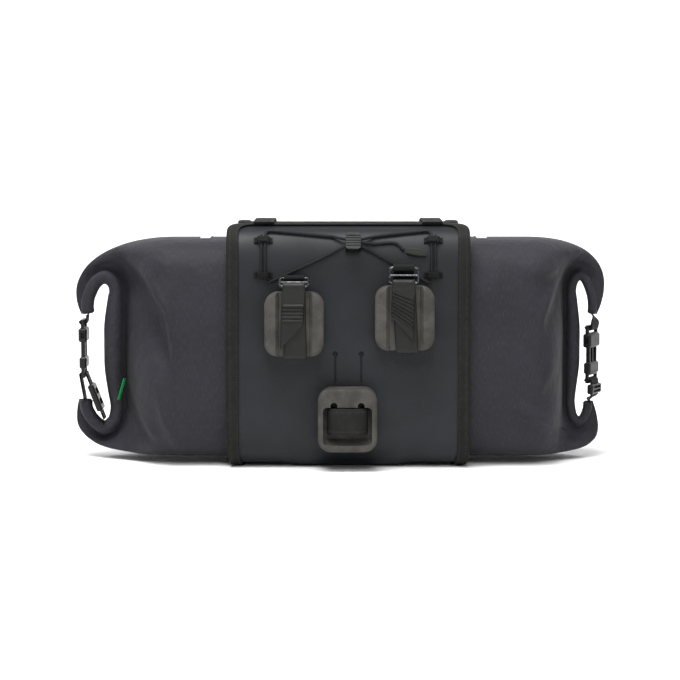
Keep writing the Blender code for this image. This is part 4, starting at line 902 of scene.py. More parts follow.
BAG_CLOTH = CoatedPolyester("coated_woven_polyester", "201f24", "33323a", 0.66, 0.22)
PANEL = StiffLaminate("pressed_laminate", "121519", "1f2328", 0.50, 0.28)
BINDING = WovenTape("woven_binding_tape", "0e0e0d", "22221f", 0.74)
WEBBING = WovenTape("woven_nylon_webbing", "060607", "141414", 0.74, rib_mm=1.7, stitch_mm=-1.0, bump_mm=0.22)
STITCHED_WEBBING = WovenTape("stitched_nylon_webbing", "10110f", "252623", 0.70, rib_mm=1.6, stitch_mm=9.6)
FOAM = MouldedFoam("moulded_foam", "3b3936", "5a5753", 0.88)
RUBBER = MouldedRubber("moulded_rubber", "0f100e", "1d1e1a", 0.50, 0.28)
ACETAL = MouldedAcetal("moulded_acetal", "070708", "161618", 0.40, 0.32)
STEEL = DrawnSteel("drawn_plated_steel", "2c2d30", "77797c", 0.30, 0.5)
ELASTIC = BraidedElastic("braided_elastic", "08090b", "24262a", 0.66)
REFLECTIVE = ReflectiveFilm("glass_bead_film", "b4b6b8", "f2f3f4", 0.42, 0.5)
GREEN = WovenTape("woven_green_tape", "0f7a3a", "2fb869", 0.62, rib_mm=1.0, stitch_mm=-1.0, bump_mm=0.08)


@dataclass(frozen=True)
class Crease:
    """A crease pressed into the cloth beside a line, with columns X and Z for the line's points.

    On the line's pressed side the cloth sinks by depth, quickly within edge and dying away over
    reach. On the other side the line stands out by ridge. All of it fades towards the line's end.
    """

    line: tuple[tuple[float, float], ...]
    depth: float
    reach: float
    ridge: float
    edge: float = 0.0035
    fade_from: float = 0.55
    pressed_side: int = 1

    def press(self, x: Array, z: Array) -> Array:
        """How far each point sinks: depth (1 - e^(-d/edge)) e^(-(d/reach)^2) beside the line.

        Args:
            x: where the points lie along the bag.
            z: how high they lie.

        Returns:
            The distance inwards at each point.
        """
        here = np.stack([x, z], -1)
        line = np.asarray(self.line)
        steps = np.linalg.norm(np.diff(line, axis=0), axis=1)
        starts = np.concatenate([[0], np.cumsum(steps)])[:-1] / steps.sum()
        best = np.full(x.shape, 1e9)
        side, along = np.zeros(x.shape), np.zeros(x.shape)
        for a, b, start, size in zip(line, line[1:], starts, steps):
            share = np.clip(((here - a) @ (b - a)) / size**2, 0, 1)
            away = here - (a + share[..., None] * (b - a))
            gap = np.linalg.norm(away, axis=-1)
            turn = np.sign((b - a)[0] * away[..., 1] - (b - a)[1] * away[..., 0])
            nearer = gap < best
            best = np.where(nearer, gap, best)
            side = np.where(nearer, turn, side)
            along = np.where(nearer, start + share * size / steps.sum(), along)
        sunk = self.depth * (1 - np.exp(-best / self.edge)) * np.exp(-(best / self.reach) ** 2)
        raised = self.ridge * np.exp(-(best / (2.2 * self.edge)) ** 2)
        fade = 1 - smooth_step(along, self.fade_from, 1.0)
        return (np.where(side * self.pressed_side > 0, sunk, 0.0) - raised) * fade


@dataclass
class RolledEnd:
    """One closed end of the bag: its mouth is pressed flat, rolled up and bent round into a loop."""

    end: End
    body_x: float
    root_x: float
    roll_radius: float
    turns: float
    loop_reach: float
    lower_arm: tuple[tuple[float, float], ...]
    creases: tuple[Crease, ...]
    upper_arm: tuple[tuple[float, float], ...] = (
        (0.00, 0.50), (0.00, 0.66), (0.13, 0.81), (0.42, 0.89), (0.72, 0.81), (0.92, 0.63), (0.98, 0.47),
        (0.96, 0.36))
    span: float = 0.080
    pitch: float = 0.0033
    shrink: float = 0.30

    @cached_property
    def spine(self) -> tuple[Array, Array, float, float]:
        """The roll's path in X and Z, its reach, and the lengths of its upper and lower half."""
        halves = []
        for arm in (self.upper_arm, self.lower_arm):
            table = np.array([(0.0, 0.0), *arm])
            reach_and_span = (self.end.value * self.loop_reach, self.span)
            knots = np.array([self.root_x, CLOSED.centre_z]) + table * reach_and_span
            halves.append(spline(knots, 24))
        path = np.vstack([halves[0][::-1], halves[1][1:]])
        reach = np.concatenate([[0], np.cumsum(np.linalg.norm(np.diff(path, axis=0), axis=1))])
        upper = float(reach[len(halves[0]) - 1])
        return path, reach, upper, float(reach[-1]) - upper

    def where(self, height: Array) -> Array:
        """Points at these distances up the roll's path from its middle."""
        path, reach, upper, _ = self.spine
        along = upper - np.asarray(height, float)
        return np.stack([np.interp(along, reach, path[:, k]) for k in (0, 1)], -1)

    def directions(self, height: Array) -> tuple[Array, Array, Array]:
        """Points of the roll's path, the way up it and the way into the loop."""
        step = 0.003
        up = unit(self.where(height + step) - self.where(height - step))
        inward = np.stack([-up[..., 1], up[..., 0]], -1) * -self.end.value
        return self.where(height), up, inward

    def rings(self, shares: Array) -> Array:
        """Rings of the cloth from the round body to the rolled mouth.

        Between the body and the roll every thread is a Hermite curve
        (2t^3 - 3t^2 + 1) start + (t^3 - 2t^2 + t) leave + (3t^2 - 2t^3) goal + (t^3 - t^2) arrive.
        The roll is a spiral whose radius falls by its pitch in each turn.

        Args:
            shares: shares of the girth of the threads.

        Returns:
            Rings x threads x 3 places.
        """
        front = shares > 0.5
        down = np.where(front, 2 - 2 * shares, 2 * shares)
        _, _, upper, lower = self.spine
        length = np.where(down < 0.5, upper, lower)
        height = (1 - 2 * down) * length
        point, up, inward = self.directions(height)
        at_fold = (shares == 0.0) | (shares == 0.5)
        layer = np.where(at_fold, 0.0, np.where(front, HALF_LAYER, -HALF_LAYER))
        tipwards = np.abs(height) / length
        bend = smooth_step(tipwards, 0.62, 1.0)
        lean = math.radians(70) * bend
        aim = inward * np.cos(lean)[:, None] + up * (np.sign(height) * np.sin(lean))[:, None]
        start = CLOSED.point(self.body_x, shares, 0.0)
        leave = np.zeros_like(start)
        leave[:, 0] = self.end.value * (0.110 + 0.100 * bend)
        arrive = np.column_stack([aim[:, 0], 0 * layer, aim[:, 1]]) * (0.020 + 0.090 * bend)[:, None]
        goal = np.column_stack([point[:, 0], layer, point[:, 1]])
        t = np.linspace(0, 1, 44)[1:, None, None]
        closing = ((2 * t**3 - 3 * t**2 + 1) * start + (t**3 - 2 * t**2 + t) * leave
                   + (3 * t**2 - 2 * t**3) * goal + (t**3 - t**2) * arrive)
        closing[..., 1] += self.pressed(closing, shares) * (1 - smooth_step(t[..., 0], 0.72, 1.0))
        radius = self.roll_radius * (1 - self.shrink * smooth_step(tipwards, 0.10, 0.48))
        wound = np.concatenate([np.zeros(4), np.linspace(0, self.turns, round(self.turns * 28) + 1)])[:, None]
        lead = np.concatenate([np.linspace(0.25, 1, 4), np.ones(len(wound) - 4)])[:, None]
        angle = 2 * np.pi * wound
        spiral = radius - self.pitch * wound + layer
        across = radius * lead + np.where(wound > 0, spiral * np.sin(angle), 0.0)
        y = np.where(wound > 0, -radius + spiral * np.cos(angle), layer)
        flat = point + inward * across[..., None]
        rolled = np.stack([flat[..., 0], y, flat[..., 1]], -1)
        return np.concatenate([closing, rolled[np.r_[0:4, 5:len(rolled)]]])

    def pressed(self, points: Array, shares: Array) -> Array:
        """How far the creases and soft wrinkles press the back face in, less where it turns away."""
        x, y, z = np.moveaxis(points, -1, 0)
        total = sum(fold.press(x, z) for fold in self.creases)
        away = self.end.value * x
        ripple = 0.0006 * np.sin(95 * x + 2.2 * np.sin(41 * z + 1.3))
        ripple = ripple + 0.0005 * np.sin(130 * z + 60 * x + 1.7)
        total = total + ripple * smooth_step(away, 0.118, 0.16)
        weight = np.clip(-y / CLOSED.back, 0.0, 1.0) ** 0.6
        return total * np.where(shares < 0.5, weight, 0.0) * smooth_step(away, 0.1125, 0.132)


LEFT_END = RolledEnd(
    End.LEFT, -0.162, -0.2100, 0.0090, 1.25, 0.0420,
    ((0.00, -0.50), (0.00, -0.75), (0.12, -0.95), (0.46, -1.06), (0.80, -0.95), (1.00, -0.78), (1.03, -0.64)),
    (Crease(((-0.2150, 0.1960), (-0.1840, 0.1700), (-0.1660, 0.1400), (-0.1590, 0.1000), (-0.1600, 0.0700)),
            0.0260, 0.046, 0.0030, 0.0028, 0.60, -1),
     Crease(((-0.2050, 0.0720), (-0.1920, 0.0430), (-0.1740, 0.0200)), 0.0130, 0.026, 0.0026, 0.0026, 0.7, -1),
     Crease(((-0.1560, 0.0130), (-0.1700, 0.0430), (-0.1760, 0.0800)), 0.0050, 0.020, 0.0018),
     Crease(((-0.2080, 0.1800), (-0.1980, 0.1500), (-0.1930, 0.1150)), 0.0050, 0.014, 0.0016, 0.0024, 0.6),
     Crease(((-0.2120, 0.1960), (-0.1960, 0.1790), (-0.1860, 0.1640)), 0.0, 0.010, -0.0060, 0.0018, 0.5),
     Crease(((-0.2060, 0.0640), (-0.1960, 0.0400), (-0.1840, 0.0260)), 0.0, 0.010, -0.0045, 0.0018, 0.5)))
RIGHT_END = RolledEnd(
    End.RIGHT, 0.168, 0.2040, 0.0064, 0.75, 0.0310,
    ((0.00, -0.50), (0.00, -0.69), (0.10, -0.87), (0.38, -0.97), (0.68, -0.91), (0.84, -0.77), (0.86, -0.66)),
    (Crease(((0.2160, 0.1960), (0.1930, 0.1680), (0.1790, 0.1390), (0.1750, 0.1150)),
            0.0220, 0.034, 0.0034, 0.0024),
     Crease(((0.1950, 0.0330), (0.1740, 0.0440), (0.1430, 0.0580)), 0.0090, 0.024, 0.0024),
     Crease(((0.1930, 0.1000), (0.1760, 0.0700), (0.1600, 0.0500)), 0.0040, 0.020, 0.0014),
     Crease(((0.2120, 0.1860), (0.1850, 0.1780), (0.1600, 0.1760)), 0.0040, 0.018, 0.0016, 0.0030, 0.4),
     Crease(((0.2120, 0.1930), (0.1960, 0.1690), (0.1840, 0.1400)), 0.0, 0.010, -0.0065, 0.0018, 0.6)))


@dataclass
class BagShell:
    """The bag: one tube of coated cloth, held flat-backed by the harness and rolled up at both ends."""

    threads: int = 96
    crowding: float = 0.060
    hold_x: float = 0.084
    free_x: float = 0.1125

    def shares(self) -> Array:
        """Shares of the girth of the cloth's threads: s + crowding sin(4 pi s) on each half."""
        even = np.linspace(0, 1, self.threads, endpoint=False)
        half = even + self.crowding * np.sin(4 * np.pi * even)
        half = np.concatenate([[0.0, 0.006], half[1:], [0.994]])
        return np.concatenate([half * 0.5, 0.5 + half * 0.5])

    def body(self, shares: Array) -> Array:
        """Rings between the two ends: the held section, blended into the free one beside the harness."""
        x = np.linspace(LEFT_END.body_x, RIGHT_END.body_x, 104)[:, None]
        free = smooth_step(np.abs(x), self.hold_x, self.free_x)[..., None]
        rings = BODY.point(x, shares[None], 0.0) * (1 - free) + CLOSED.point(x, shares[None], 0.0) * free
        for end in (LEFT_END, RIGHT_END):
            side = np.sign(x) == end.end.value
            rings[..., 1] += np.where(side, end.pressed(rings, shares), 0.0)
        return rings

    def build(self) -> bpy.types.Object:
        """The cloth as one grid from mouth to mouth, with its wall added inwards."""
        shares = self.shares()
        rings = np.concatenate([LEFT_END.rings(shares)[::-1], self.body(shares), RIGHT_END.rings(shares)])
        run = np.linalg.norm(np.diff(rings, axis=0), axis=-1).mean(1)
        along = np.concatenate([[0], np.cumsum(run)])
        around = np.append(shares, 1.0) * BODY.length
        uv = np.stack(np.broadcast_arrays(along[:, None], around[None]), -1)
        shell = grid_surface("bag_cloth", rings, uv=uv, wrap_cols=True)
        middle = len(shell.data.polygons) // 2
        face = shell.data.polygons[middle]
        if face.normal.dot(face.center - Vector((face.center.x, 0.0, BODY.centre_z))) < 0:
            shell.data.flip_normals()
        wall = shell.modifiers.new("wall", "SOLIDIFY")
        wall.thickness = FABRIC_WALL
        wall.offset = -1
        return shell

    def dress(self) -> None:
        """Builds the bag and gives it its coated cloth."""
        settle(self.build(), BAG_CLOTH.material(), Slot.FABRIC, "bag_shell")


@dataclass
class Harness:
    """The stiff laminate wrap with its bound edge, two keyhole slits and closing straps."""

    half_length: float = 0.1085
    back_edge: float = 0.046
    front_edge: float = 0.036
    corner: float = 0.024
    waist: float = 0.0080
    slit_x: float = 0.0118
    slit_top: float = 0.1050
    slit_bottom: float = 0.0777
    slit_width: float = 0.0020
    eye_radius: float = 0.0024
    tape_width: float = 0.0090
    tape_wall: float = 0.0012
    tape_stand: float = 0.0009
    closing_width: float = 0.0190
    closing_wall: float = 0.0018
    closing_buckle_z: float = 0.1150
    tape_corner: float = 0.0012
    plate_half_width: float = 0.0125
    plate_half_height: float = 0.0165
    plate_depth: float = 0.0044
    plate_corner: float = 0.0035
    slot_half_width: float = 0.0098
    slot_half_height: float = 0.0016
    slots: tuple[float, float] = (-0.0095, 0.0070)
    grip_half_width: float = 0.0085
    grip_half_height: float = 0.0007
    grips: tuple[float, float, float] = (-0.0035, -0.0006, 0.0023)

    @property
    def total(self) -> float:
        """The sheet's length round the girth."""
        return BODY.length + self.front_edge - self.back_edge

    def half_at(self, distance: Array) -> Array:
        """Half length along the bag: the full one less the waist and the rounded corners."""
        to_edge = np.clip(np.minimum(distance, self.total - distance), 0.0, self.corner)
        rounded = self.corner - np.sqrt(np.maximum(self.corner**2 - (self.corner - to_edge) ** 2, 0.0))
        return self.half_length - self.waist * smooth_step(distance / self.total, 0.33, 0.42) - rounded

    def stations(self) -> Array:
        """Distances from the back edge: crowded where the corners turn, even between."""
        turn = self.corner * (1 - np.cos(np.linspace(0, np.pi / 2, 14)))
        middle = np.linspace(self.corner, self.total - self.corner, 210)
        return np.concatenate([turn[:-1], middle, (self.total - turn)[::-1][1:]])

    def sheet(self) -> bpy.types.Object:
        """The sheet: its inner side on the cloth, its outer side a wall further out."""
        distance = self.stations()
        half = np.maximum(self.half_at(distance), 0.002)
        share = BODY.share_of(self.back_edge + distance)
        even = np.linspace(-1, 1, 44)
        x = half[:, None] * even[None]
        inner = BODY.point(x, share[:, None], TOUCH)
        outer = BODY.point(x[:, ::-1], share[:, None], HARNESS_LIFT)
        made = grid_surface("harness_sheet", np.concatenate([inner, outer], 1), wrap_cols=True, caps=True)
        near, far = BACK_PLANE - CUT_PAST, BACK_PLANE + HARNESS_WALL + CUT_PAST
        for side in (-1, 1):
            x_slit = side * self.slit_x
            slit = turned_box("slit", np.zeros(3), np.eye(3),
                              (x_slit - self.slit_width / 2, near, self.slit_bottom),
                              (x_slit + self.slit_width / 2, far, self.slit_top))
            eye = tube("eye", np.array([(x_slit, y, self.slit_top) for y in (near, 0.5 * (near + far), far)]),
                       self.eye_radius, np.array((0, 0, 1.0)), sides=20)
            combine(combine(made, slit, "DIFFERENCE"), eye, "DIFFERENCE")
        return crease(made, 40)

    def tape(self) -> bpy.types.Object:
        """The binding: its profile carried round the sheet's edge, offset along the edge's normal."""
        distance = self.stations()
        edge = np.concatenate([np.column_stack([self.half_at(distance), distance]),
                               np.column_stack([-self.half_at(distance), distance])[::-1]])
        keep = np.concatenate([[True], np.linalg.norm(np.diff(edge, axis=0), axis=1) > 2e-4])
        edge = resample(np.vstack([edge[keep], edge[:1]]), 0.0028)[:-1]
        way = unit(np.roll(edge, -2, axis=0) - np.roll(edge, 2, axis=0))
        normal = np.stack([way[:, 1], -way[:, 0]], -1)
        low = HARNESS_LIFT + self.tape_stand
        top = low + self.tape_wall
        near, far = 3 * TOUCH, 3 * TOUCH + self.tape_wall
        turn = np.linspace(0, np.pi / 2, 5)
        crown = np.linspace(-self.tape_width + 0.0006, far - self.tape_corner, 9)
        outer = np.column_stack([crown, np.full(9, top)])
        outer[:, 1] += 0.00035 * np.sin(np.pi * np.linspace(0, 1, 9))
        corner = np.column_stack([far - self.tape_corner + self.tape_corner * np.sin(turn),
                                  top - self.tape_corner + self.tape_corner * np.cos(turn)])[1:]
        profile = np.vstack([[(-self.tape_width, low), (-self.tape_width, top - 0.0004)], outer, corner,
                             [(far, TOUCH), (near, TOUCH), (near, low)]])
        across, lift = profile[:, 0], profile[:, 1]
        x = edge[:, :1] + normal[:, :1] * across[None]
        reach = edge[:, 1:] + normal[:, 1:] * across[None]
        points = BODY.point(x, BODY.share_of(self.back_edge + reach), lift[None])
        steps = np.linalg.norm(np.diff(edge, axis=0, append=edge[:1]), axis=1)
        along = np.concatenate([[0], np.cumsum(steps)])
        crosswise = np.append(across, across[0]) + self.tape_width / 2
        uv = np.stack(np.broadcast_arrays(crosswise[None], along[:, None]), -1)
        return crease(grid_surface("harness_binding", points, uv=uv, wrap_rows=True, wrap_cols=True), 50)

    def closing_strap(self, end: End) -> bpy.types.Object:
        """A strap under the bottom, up the front and over the bound edges on top."""
        start = float(np.interp(0.465, BODY.table["share"], BODY.table["reach"])) * BODY.length
        stop = BODY.length + self.back_edge + self.tape_width + 0.0010
        distances = np.linspace(start, stop, 190)
        low = HARNESS_LIFT + TOUCH
        over = HARNESS_LIFT + self.tape_stand + self.tape_wall + TOUCH
        lift = low + (over - low) * smooth_step(distances, BODY.length * 0.90, BODY.length * 0.97)
        return wrapped_band(f"closing_webbing_{end.name.lower()}", BODY, end.value * GUIDE_X, distances,
                            self.closing_width / 2, lift, self.closing_wall)

    def closing_buckle(self, end: End) -> bpy.types.Object:
        """A ladder buckle on the front: a rounded plate with two slots and three grip ridges."""
        share = 1 - float(BODY.share_at(self.closing_buckle_z))
        outward = BODY.normal(share)
        origin = BODY.point(end.value * GUIDE_X, share, 0.0)
        up = np.cross(outward, (1.0, 0.0, 0.0))
        axes = np.array([(1.0, 0.0, 0.0), up, outward])
        base = HARNESS_LIFT + 2 * TOUCH + self.closing_wall + 0.0005
        name = f"closing_buckle_plate_{end.name.lower()}"
        plate = turned_box(name, origin, axes, (-self.plate_half_width, -self.plate_half_height, base),
                           (self.plate_half_width, self.plate_half_height, base + self.plate_depth),
                           self.plate_corner)
        for middle in self.slots:
            slot = turned_box("slot", origin, axes, (-self.slot_half_width, middle - self.slot_half_height,
                                                     base - CUT_PAST),
                              (self.slot_half_width, middle + self.slot_half_height, base + 0.010), 0.0010)
            combine(plate, slot, "DIFFERENCE")
        for middle in self.grips:
            grip = turned_box("grip", origin, axes, (-self.grip_half_width, middle - self.grip_half_height,
                                                     base + 0.0030),
                              (self.grip_half_width, middle + self.grip_half_height, base + 0.0056), 0.0004)
            combine(plate, grip, "UNION")
        return round_edges(crease(plate, 35), 0.0005, 2)

    def dress(self) -> None:
        """Builds the wrap, its tape and its straps and gives them their finishes."""
        settle(self.sheet(), PANEL.material(), Slot.LAMINATE, "harness_wrap")
        settle(self.tape(), BINDING.material(), Slot.TAPE, "edge_binding")
        for end in End:
            side = end.name.lower()
            settle(self.closing_strap(end), WEBBING.material(), Slot.WEBBING, f"closing_strap_{side}")
            settle(self.closing_buckle(end), ACETAL.material(), Slot.PLASTIC, f"closing_buckle_{side}")


@dataclass
class SpacerBlocks:
    """Three foam blocks that keep the bag off the handlebar and the head tube."""

    depth: float = 0.025
    half_width: float = 0.0268
    half_height: float = 0.0288
    corner: float = 0.012
    edge: float = 0.0035
    channel_half_width: float = 0.0135
    channel_depth: float = 0.0062
    window_half_width: float = 0.0220
    window_top: float = 0.0120
    window_bottom: float = 0.0225
    window_depth: float = 0.0130
    window_lip: float = 0.0050
    channel_flare: float = 0.0033
    notch_x: float = 0.0123
    notch_rise: float = 0.0012
    notch_radius: float = 0.0032
    slit_x: float = 0.0140
    slit_half_width: float = 0.0017
    slit_height: float = 0.0250
    left: tuple[float, float] = (-0.0487, 0.1334)
    right: tuple[float, float] = (0.0507, 0.1388)
    lower: tuple[float, float] = (-0.0007, 0.0468)

    @property
    def face(self) -> float:
        """Where the blocks' front faces lie."""
        return BACK_PLANE - TOUCH - self.depth

    def block(self, name: str, centre: tuple[float, float]) -> bpy.types.Object:
        """A block: its outline, inset by edge (1 - cos a) and set back by edge (1 - sin a) at the front."""
        turn = np.linspace(0, np.pi / 2, 9)
        inset = np.concatenate([[0.0012, 0.0003, 0.0], self.edge * (1 - np.cos(turn))])
        y = np.concatenate([[BACK_PLANE - TOUCH, BACK_PLANE - TOUCH - 0.0006, BACK_PLANE - TOUCH - 0.0014],
                            self.face + self.edge * (1 - np.sin(turn))])
        rings = []
        for step, depth in zip(inset, y):
            outline = rounded_rectangle(self.half_width - step, self.half_height - step, self.corner - step,
                                        9)
            rings.append(np.column_stack([centre[0] + outline[:, 0], np.full(len(outline), depth),
                                          centre[1] + outline[:, 1]]))
        return grid_surface(name, np.array(rings), wrap_cols=True, caps=True)

    def with_channel(self, name: str, centre: tuple[float, float]) -> bpy.types.Object:
        """A handlebar spacer, with a channel that its strap lies in."""
        block = self.block(name, centre)
        deep, half = self.face + self.channel_depth, self.channel_half_width
        wide, front, brim = half + self.channel_flare, self.face - CUT_PAST, self.face + 0.0002
        section = np.array([(-wide, front), (-wide, brim), (-half, deep), (half, deep), (wide, brim),
                            (wide, front)])
        reach = self.half_height + 0.005
        rings = [np.column_stack([centre[0] + section[:, 0], section[:, 1], np.full(6, centre[1] + z)])
                 for z in (-reach, reach)]
        combine(block, grid_surface("channel", np.array(rings), wrap_cols=True, caps=True), "DIFFERENCE")
        return round_edges(crease(block, 35), 0.0009, 3, 30)

    def with_window(self, name: str) -> bpy.types.Object:
        """The head-tube spacer: a window with two arched notches, whose floor has two slits."""
        block = self.block(name, self.lower)
        middle = self.lower[1] + (self.window_top - self.window_bottom) / 2
        half_height = (self.window_top + self.window_bottom) / 2
        floor = self.face + self.window_depth
        rings = []
        for y, lip in ((self.face - 0.004, 0.0), (self.face + 0.004, 0.0), (floor, self.window_lip)):
            outline = rounded_rectangle(self.window_half_width, half_height - lip / 2, 0.0035, 5)
            rings.append(np.column_stack([self.lower[0] + outline[:, 0], np.full(len(outline), y),
                                          middle + lip / 2 + outline[:, 1]]))
        combine(block, grid_surface("window", np.array(rings), wrap_cols=True, caps=True), "DIFFERENCE")
        for side in (-1, 1):
            x, top = self.lower[0] + side * self.notch_x, self.lower[1] + self.window_top
            crown = top + self.notch_rise
            notch = tube("notch", np.array([(x, y, crown) for y in (self.face - CUT_PAST, self.face, floor)]),
                         self.notch_radius, np.array((0, 0, 1.0)), sides=20)
            combine(block, notch, "DIFFERENCE")
            x = self.lower[0] + side * self.slit_x
            slit = turned_box("slit", np.zeros(3), np.eye(3),
                              (x - self.slit_half_width, floor - 0.002, top - self.slit_height),
                              (x + self.slit_half_width, BACK_PLANE + CUT_PAST, top - 0.0004))
            combine(block, slit, "DIFFERENCE")
        return round_edges(crease(block, 35), 0.0007, 3, 30)

    def dress(self) -> None:
        """Builds the three blocks and gives them their foam."""
        foam = FOAM.material()
        for side, centre in (("left", self.left), ("right", self.right)):
            block = self.with_channel(f"foam_block_{side}", centre)
            settle(block, foam, Slot.FOAM, f"spacer_block_{side}")
        settle(self.with_window("foam_block_lower"), foam, Slot.FOAM, "spacer_block_lower")


BLOCKS = SpacerBlocks()


def bend(centre: Sequence[float], radius: float, start: float, end: float, steps: int) -> Array:
    """Points of an arc: centre + radius (cos a, sin a), with its angles in degrees."""
    a = np.radians(np.linspace(start, end, steps))
    return np.column_stack([centre[0] + radius * np.cos(a), centre[1] + radius * np.sin(a)])


@dataclass
class HandlebarStrap:
    """A ribbed rubber strap, folded over a steel loop that a webbing tab holds."""

    end: End
    centre: tuple[float, float]
    top_z: float
    end_z: float
    shifts: tuple[float, float, float]
    ribs_from: float
    slants: tuple[float, float, float]
    loop_shift: float
    tilt: float
    width: float = 0.0205
    wall: float = 0.0022
    rib_pitch: float = 0.0034
    rib_height: float = 0.0010
    bar_radius: float = 0.0012
    loop_half_width: float = 0.0128
    loop_height: float = 0.0140
    root_turn: float = 0.0022
    rib_share: float = 0.78
    tab_half_width: float = 0.0095

    @property
    def turn(self) -> float:
        """Radius of the strap's middle line round the bar."""
        return self.wall / 2 + TOUCH + self.bar_radius

    @property
    def bar(self) -> tuple[float, float]:
        """Y and Z of the bar that the strap is folded over."""
        back = BLOCKS.face + BLOCKS.channel_depth - self.wall / 2 - 2 * TOUCH
        return back - self.turn, self.top_z - self.turn - self.wall / 2

    def strap(self) -> bpy.types.Object:
        """The strap's path with ribs of height h min(1, 1.5 sin(pi s)), s running over each rib's upper part."""
        bottom = self.centre[1] - BLOCKS.half_height - self.wall / 2 - 2 * TOUCH
        bar_y, bar_z = self.bar
        back = bar_y + self.turn
        settle_y = back - self.wall - self.rib_height / 2 - 2 * TOUCH
        rise = np.vstack([[(BACK_PLANE - 0.0010, bottom), (back + self.root_turn, bottom)],
                          bend((back + self.root_turn, bottom + self.root_turn), self.root_turn, 262, 180, 6),
                          [(back, bottom + 0.5 * (bar_z - bottom))]])
        over = bend((bar_y, bar_z), self.turn, 0, 180, 12)
        fall = np.array([(bar_y - self.turn, bar_z - 0.0030), (settle_y, bar_z - 0.0150),
                         (settle_y, self.end_z)])
        line = resample(np.vstack([rise, over, fall]), 0.00035)
        top_at = int(np.argmax(line[:, 1]))
        index = np.arange(len(line))
        shift = np.where(index < top_at, np.interp(line[:, 1], [bottom, bar_z], self.shifts[:2]),
                         np.interp(-line[:, 1], [-bar_z, -self.end_z], self.shifts[1:]))
        path = np.column_stack([self.centre[0] + shift, line])
        first = bar_z - self.ribs_from
        last = self.end_z + max(abs(self.slants[2] - self.slants[1]), 0.0020) + 0.0010
        falling = index > top_at
        slant = np.where(falling, np.interp(-line[:, 1], [-first - 0.006, -first, -last, -self.end_z],
                                            [0.0, *self.slants]), 0.0)
        phase = (first - line[:, 1]) / self.rib_pitch
        ribbed = falling & (phase > 0) & (line[:, 1] > last)
        swell = np.sin(np.pi * np.clip(np.mod(phase, 1.0) / self.rib_share, 0, 1))
        rib = np.clip(1.5 * swell, 0, 1) * self.rib_height * ribbed
        widths = np.column_stack([np.full(len(line), self.width / 2), np.zeros(len(line)), -slant])
        return ribbon(f"ribbed_strap_{self.end.name.lower()}", path, widths, self.wall, edge=0.0009,
                      relief=rib)

    def loop(self) -> bpy.types.Object:
        """The steel loop with its middle bar."""
        y, z = self.bar
        into, up = math.sin(math.radians(self.tilt)), math.cos(math.radians(self.tilt))
        x = self.centre[0] + self.loop_shift
        flat = rounded_rectangle(self.loop_half_width, self.loop_height / 2, 0.0030, 6)
        high = flat[:, 1] + self.loop_height / 2
        ring = np.column_stack([x + flat[:, 0], y + into * high, z + up * high])
        loop = tube(f"steel_loop_{self.end.name.lower()}", ring, self.bar_radius, np.array((0.0, -up, into)),
                    closed=True)
        middle = (y + into * self.loop_height / 2, z + up * self.loop_height / 2)
        bar = tube("bar", np.array([(x + s * self.loop_half_width, *middle) for s in (-1.0, 0.0, 1.0)]),
                   self.bar_radius * 0.85, np.array((0.0, 0.0, 1.0)))
        return crease(join(loop, bar), 60)

    def tab(self) -> bpy.types.Object:
        """The webbing tab: up the harness, out to the loop's far bar and round it."""
        y, z = self.bar
        far = (y + math.sin(math.radians(self.tilt)) * self.loop_height,
               z + math.cos(math.radians(self.tilt)) * self.loop_height)
        top = self.centre[1] + BLOCKS.half_height
        flat_y = BACK_PLANE - TOUCH - WEBBING_WALL / 2
        turn = self.bar_radius + TOUCH + WEBBING_WALL / 2
        start = np.array([(flat_y, top + 0.0008), (flat_y, top + 0.0040), (flat_y - 0.0008, top + 0.0054)])
        reach = np.subtract(far, start[-1])
        meets = math.degrees(math.atan2(reach[1], reach[0]) + math.acos(turn / math.hypot(*reach))) - 180
        line = resample(np.vstack([start, bend(far, turn, meets, 250, 14)]), 0.0006)
        path = np.column_stack([np.full(len(line), self.centre[0] + self.loop_shift), line])
        return ribbon(f"loop_tab_{self.end.name.lower()}", path, np.array((self.tab_half_width, 0.0, 0.0)),
                      WEBBING_WALL)

    def dress(self) -> None:
        """Builds the strap, its loop and its tab and gives them their finishes."""
        side = self.end.name.lower()
        settle(self.strap(), RUBBER.material(), Slot.RUBBER, f"handlebar_strap_{side}")
        settle(self.loop(), STEEL.material(), Slot.METAL, f"strap_buckle_{side}")
        settle(self.tab(), WEBBING.material(), Slot.WEBBING, f"buckle_tab_{side}")


HEAD_STRAP_HALF_WIDTH = 0.0120
HEAD_STRAP_WALL = 0.0018


def head_tube_strap() -> None:
    """The webbing that bulges through the lower block's window, out of one slit and into the other."""
    floor = BLOCKS.face + BLOCKS.window_depth
    half = np.array([(0.0140, BACK_PLANE - 0.0010), (0.0140, floor), (0.0150, floor - 0.0025),
                     (0.0172, floor - 0.0055), (0.0168, floor - 0.0090), (0.0130, floor - 0.0122),
                     (0.0075, floor - 0.0140), (0.0, floor - 0.0146)])
    full = np.vstack([half * (-1, 1), half[-2::-1]])
    line = resample(spline(full, 10), 0.0006)
    z = BLOCKS.lower[1] + BLOCKS.window_top - 0.0009 - HEAD_STRAP_HALF_WIDTH
    path = np.column_stack([BLOCKS.lower[0] + line[:, 0], line[:, 1], np.full(len(line), z)])
    made = ribbon("head_tube_webbing", path, np.array((0.0, 0.0, HEAD_STRAP_HALF_WIDTH)), HEAD_STRAP_WALL)
    settle(made, STITCHED_WEBBING.material(), Slot.WEBBING, "head_tube_strap")


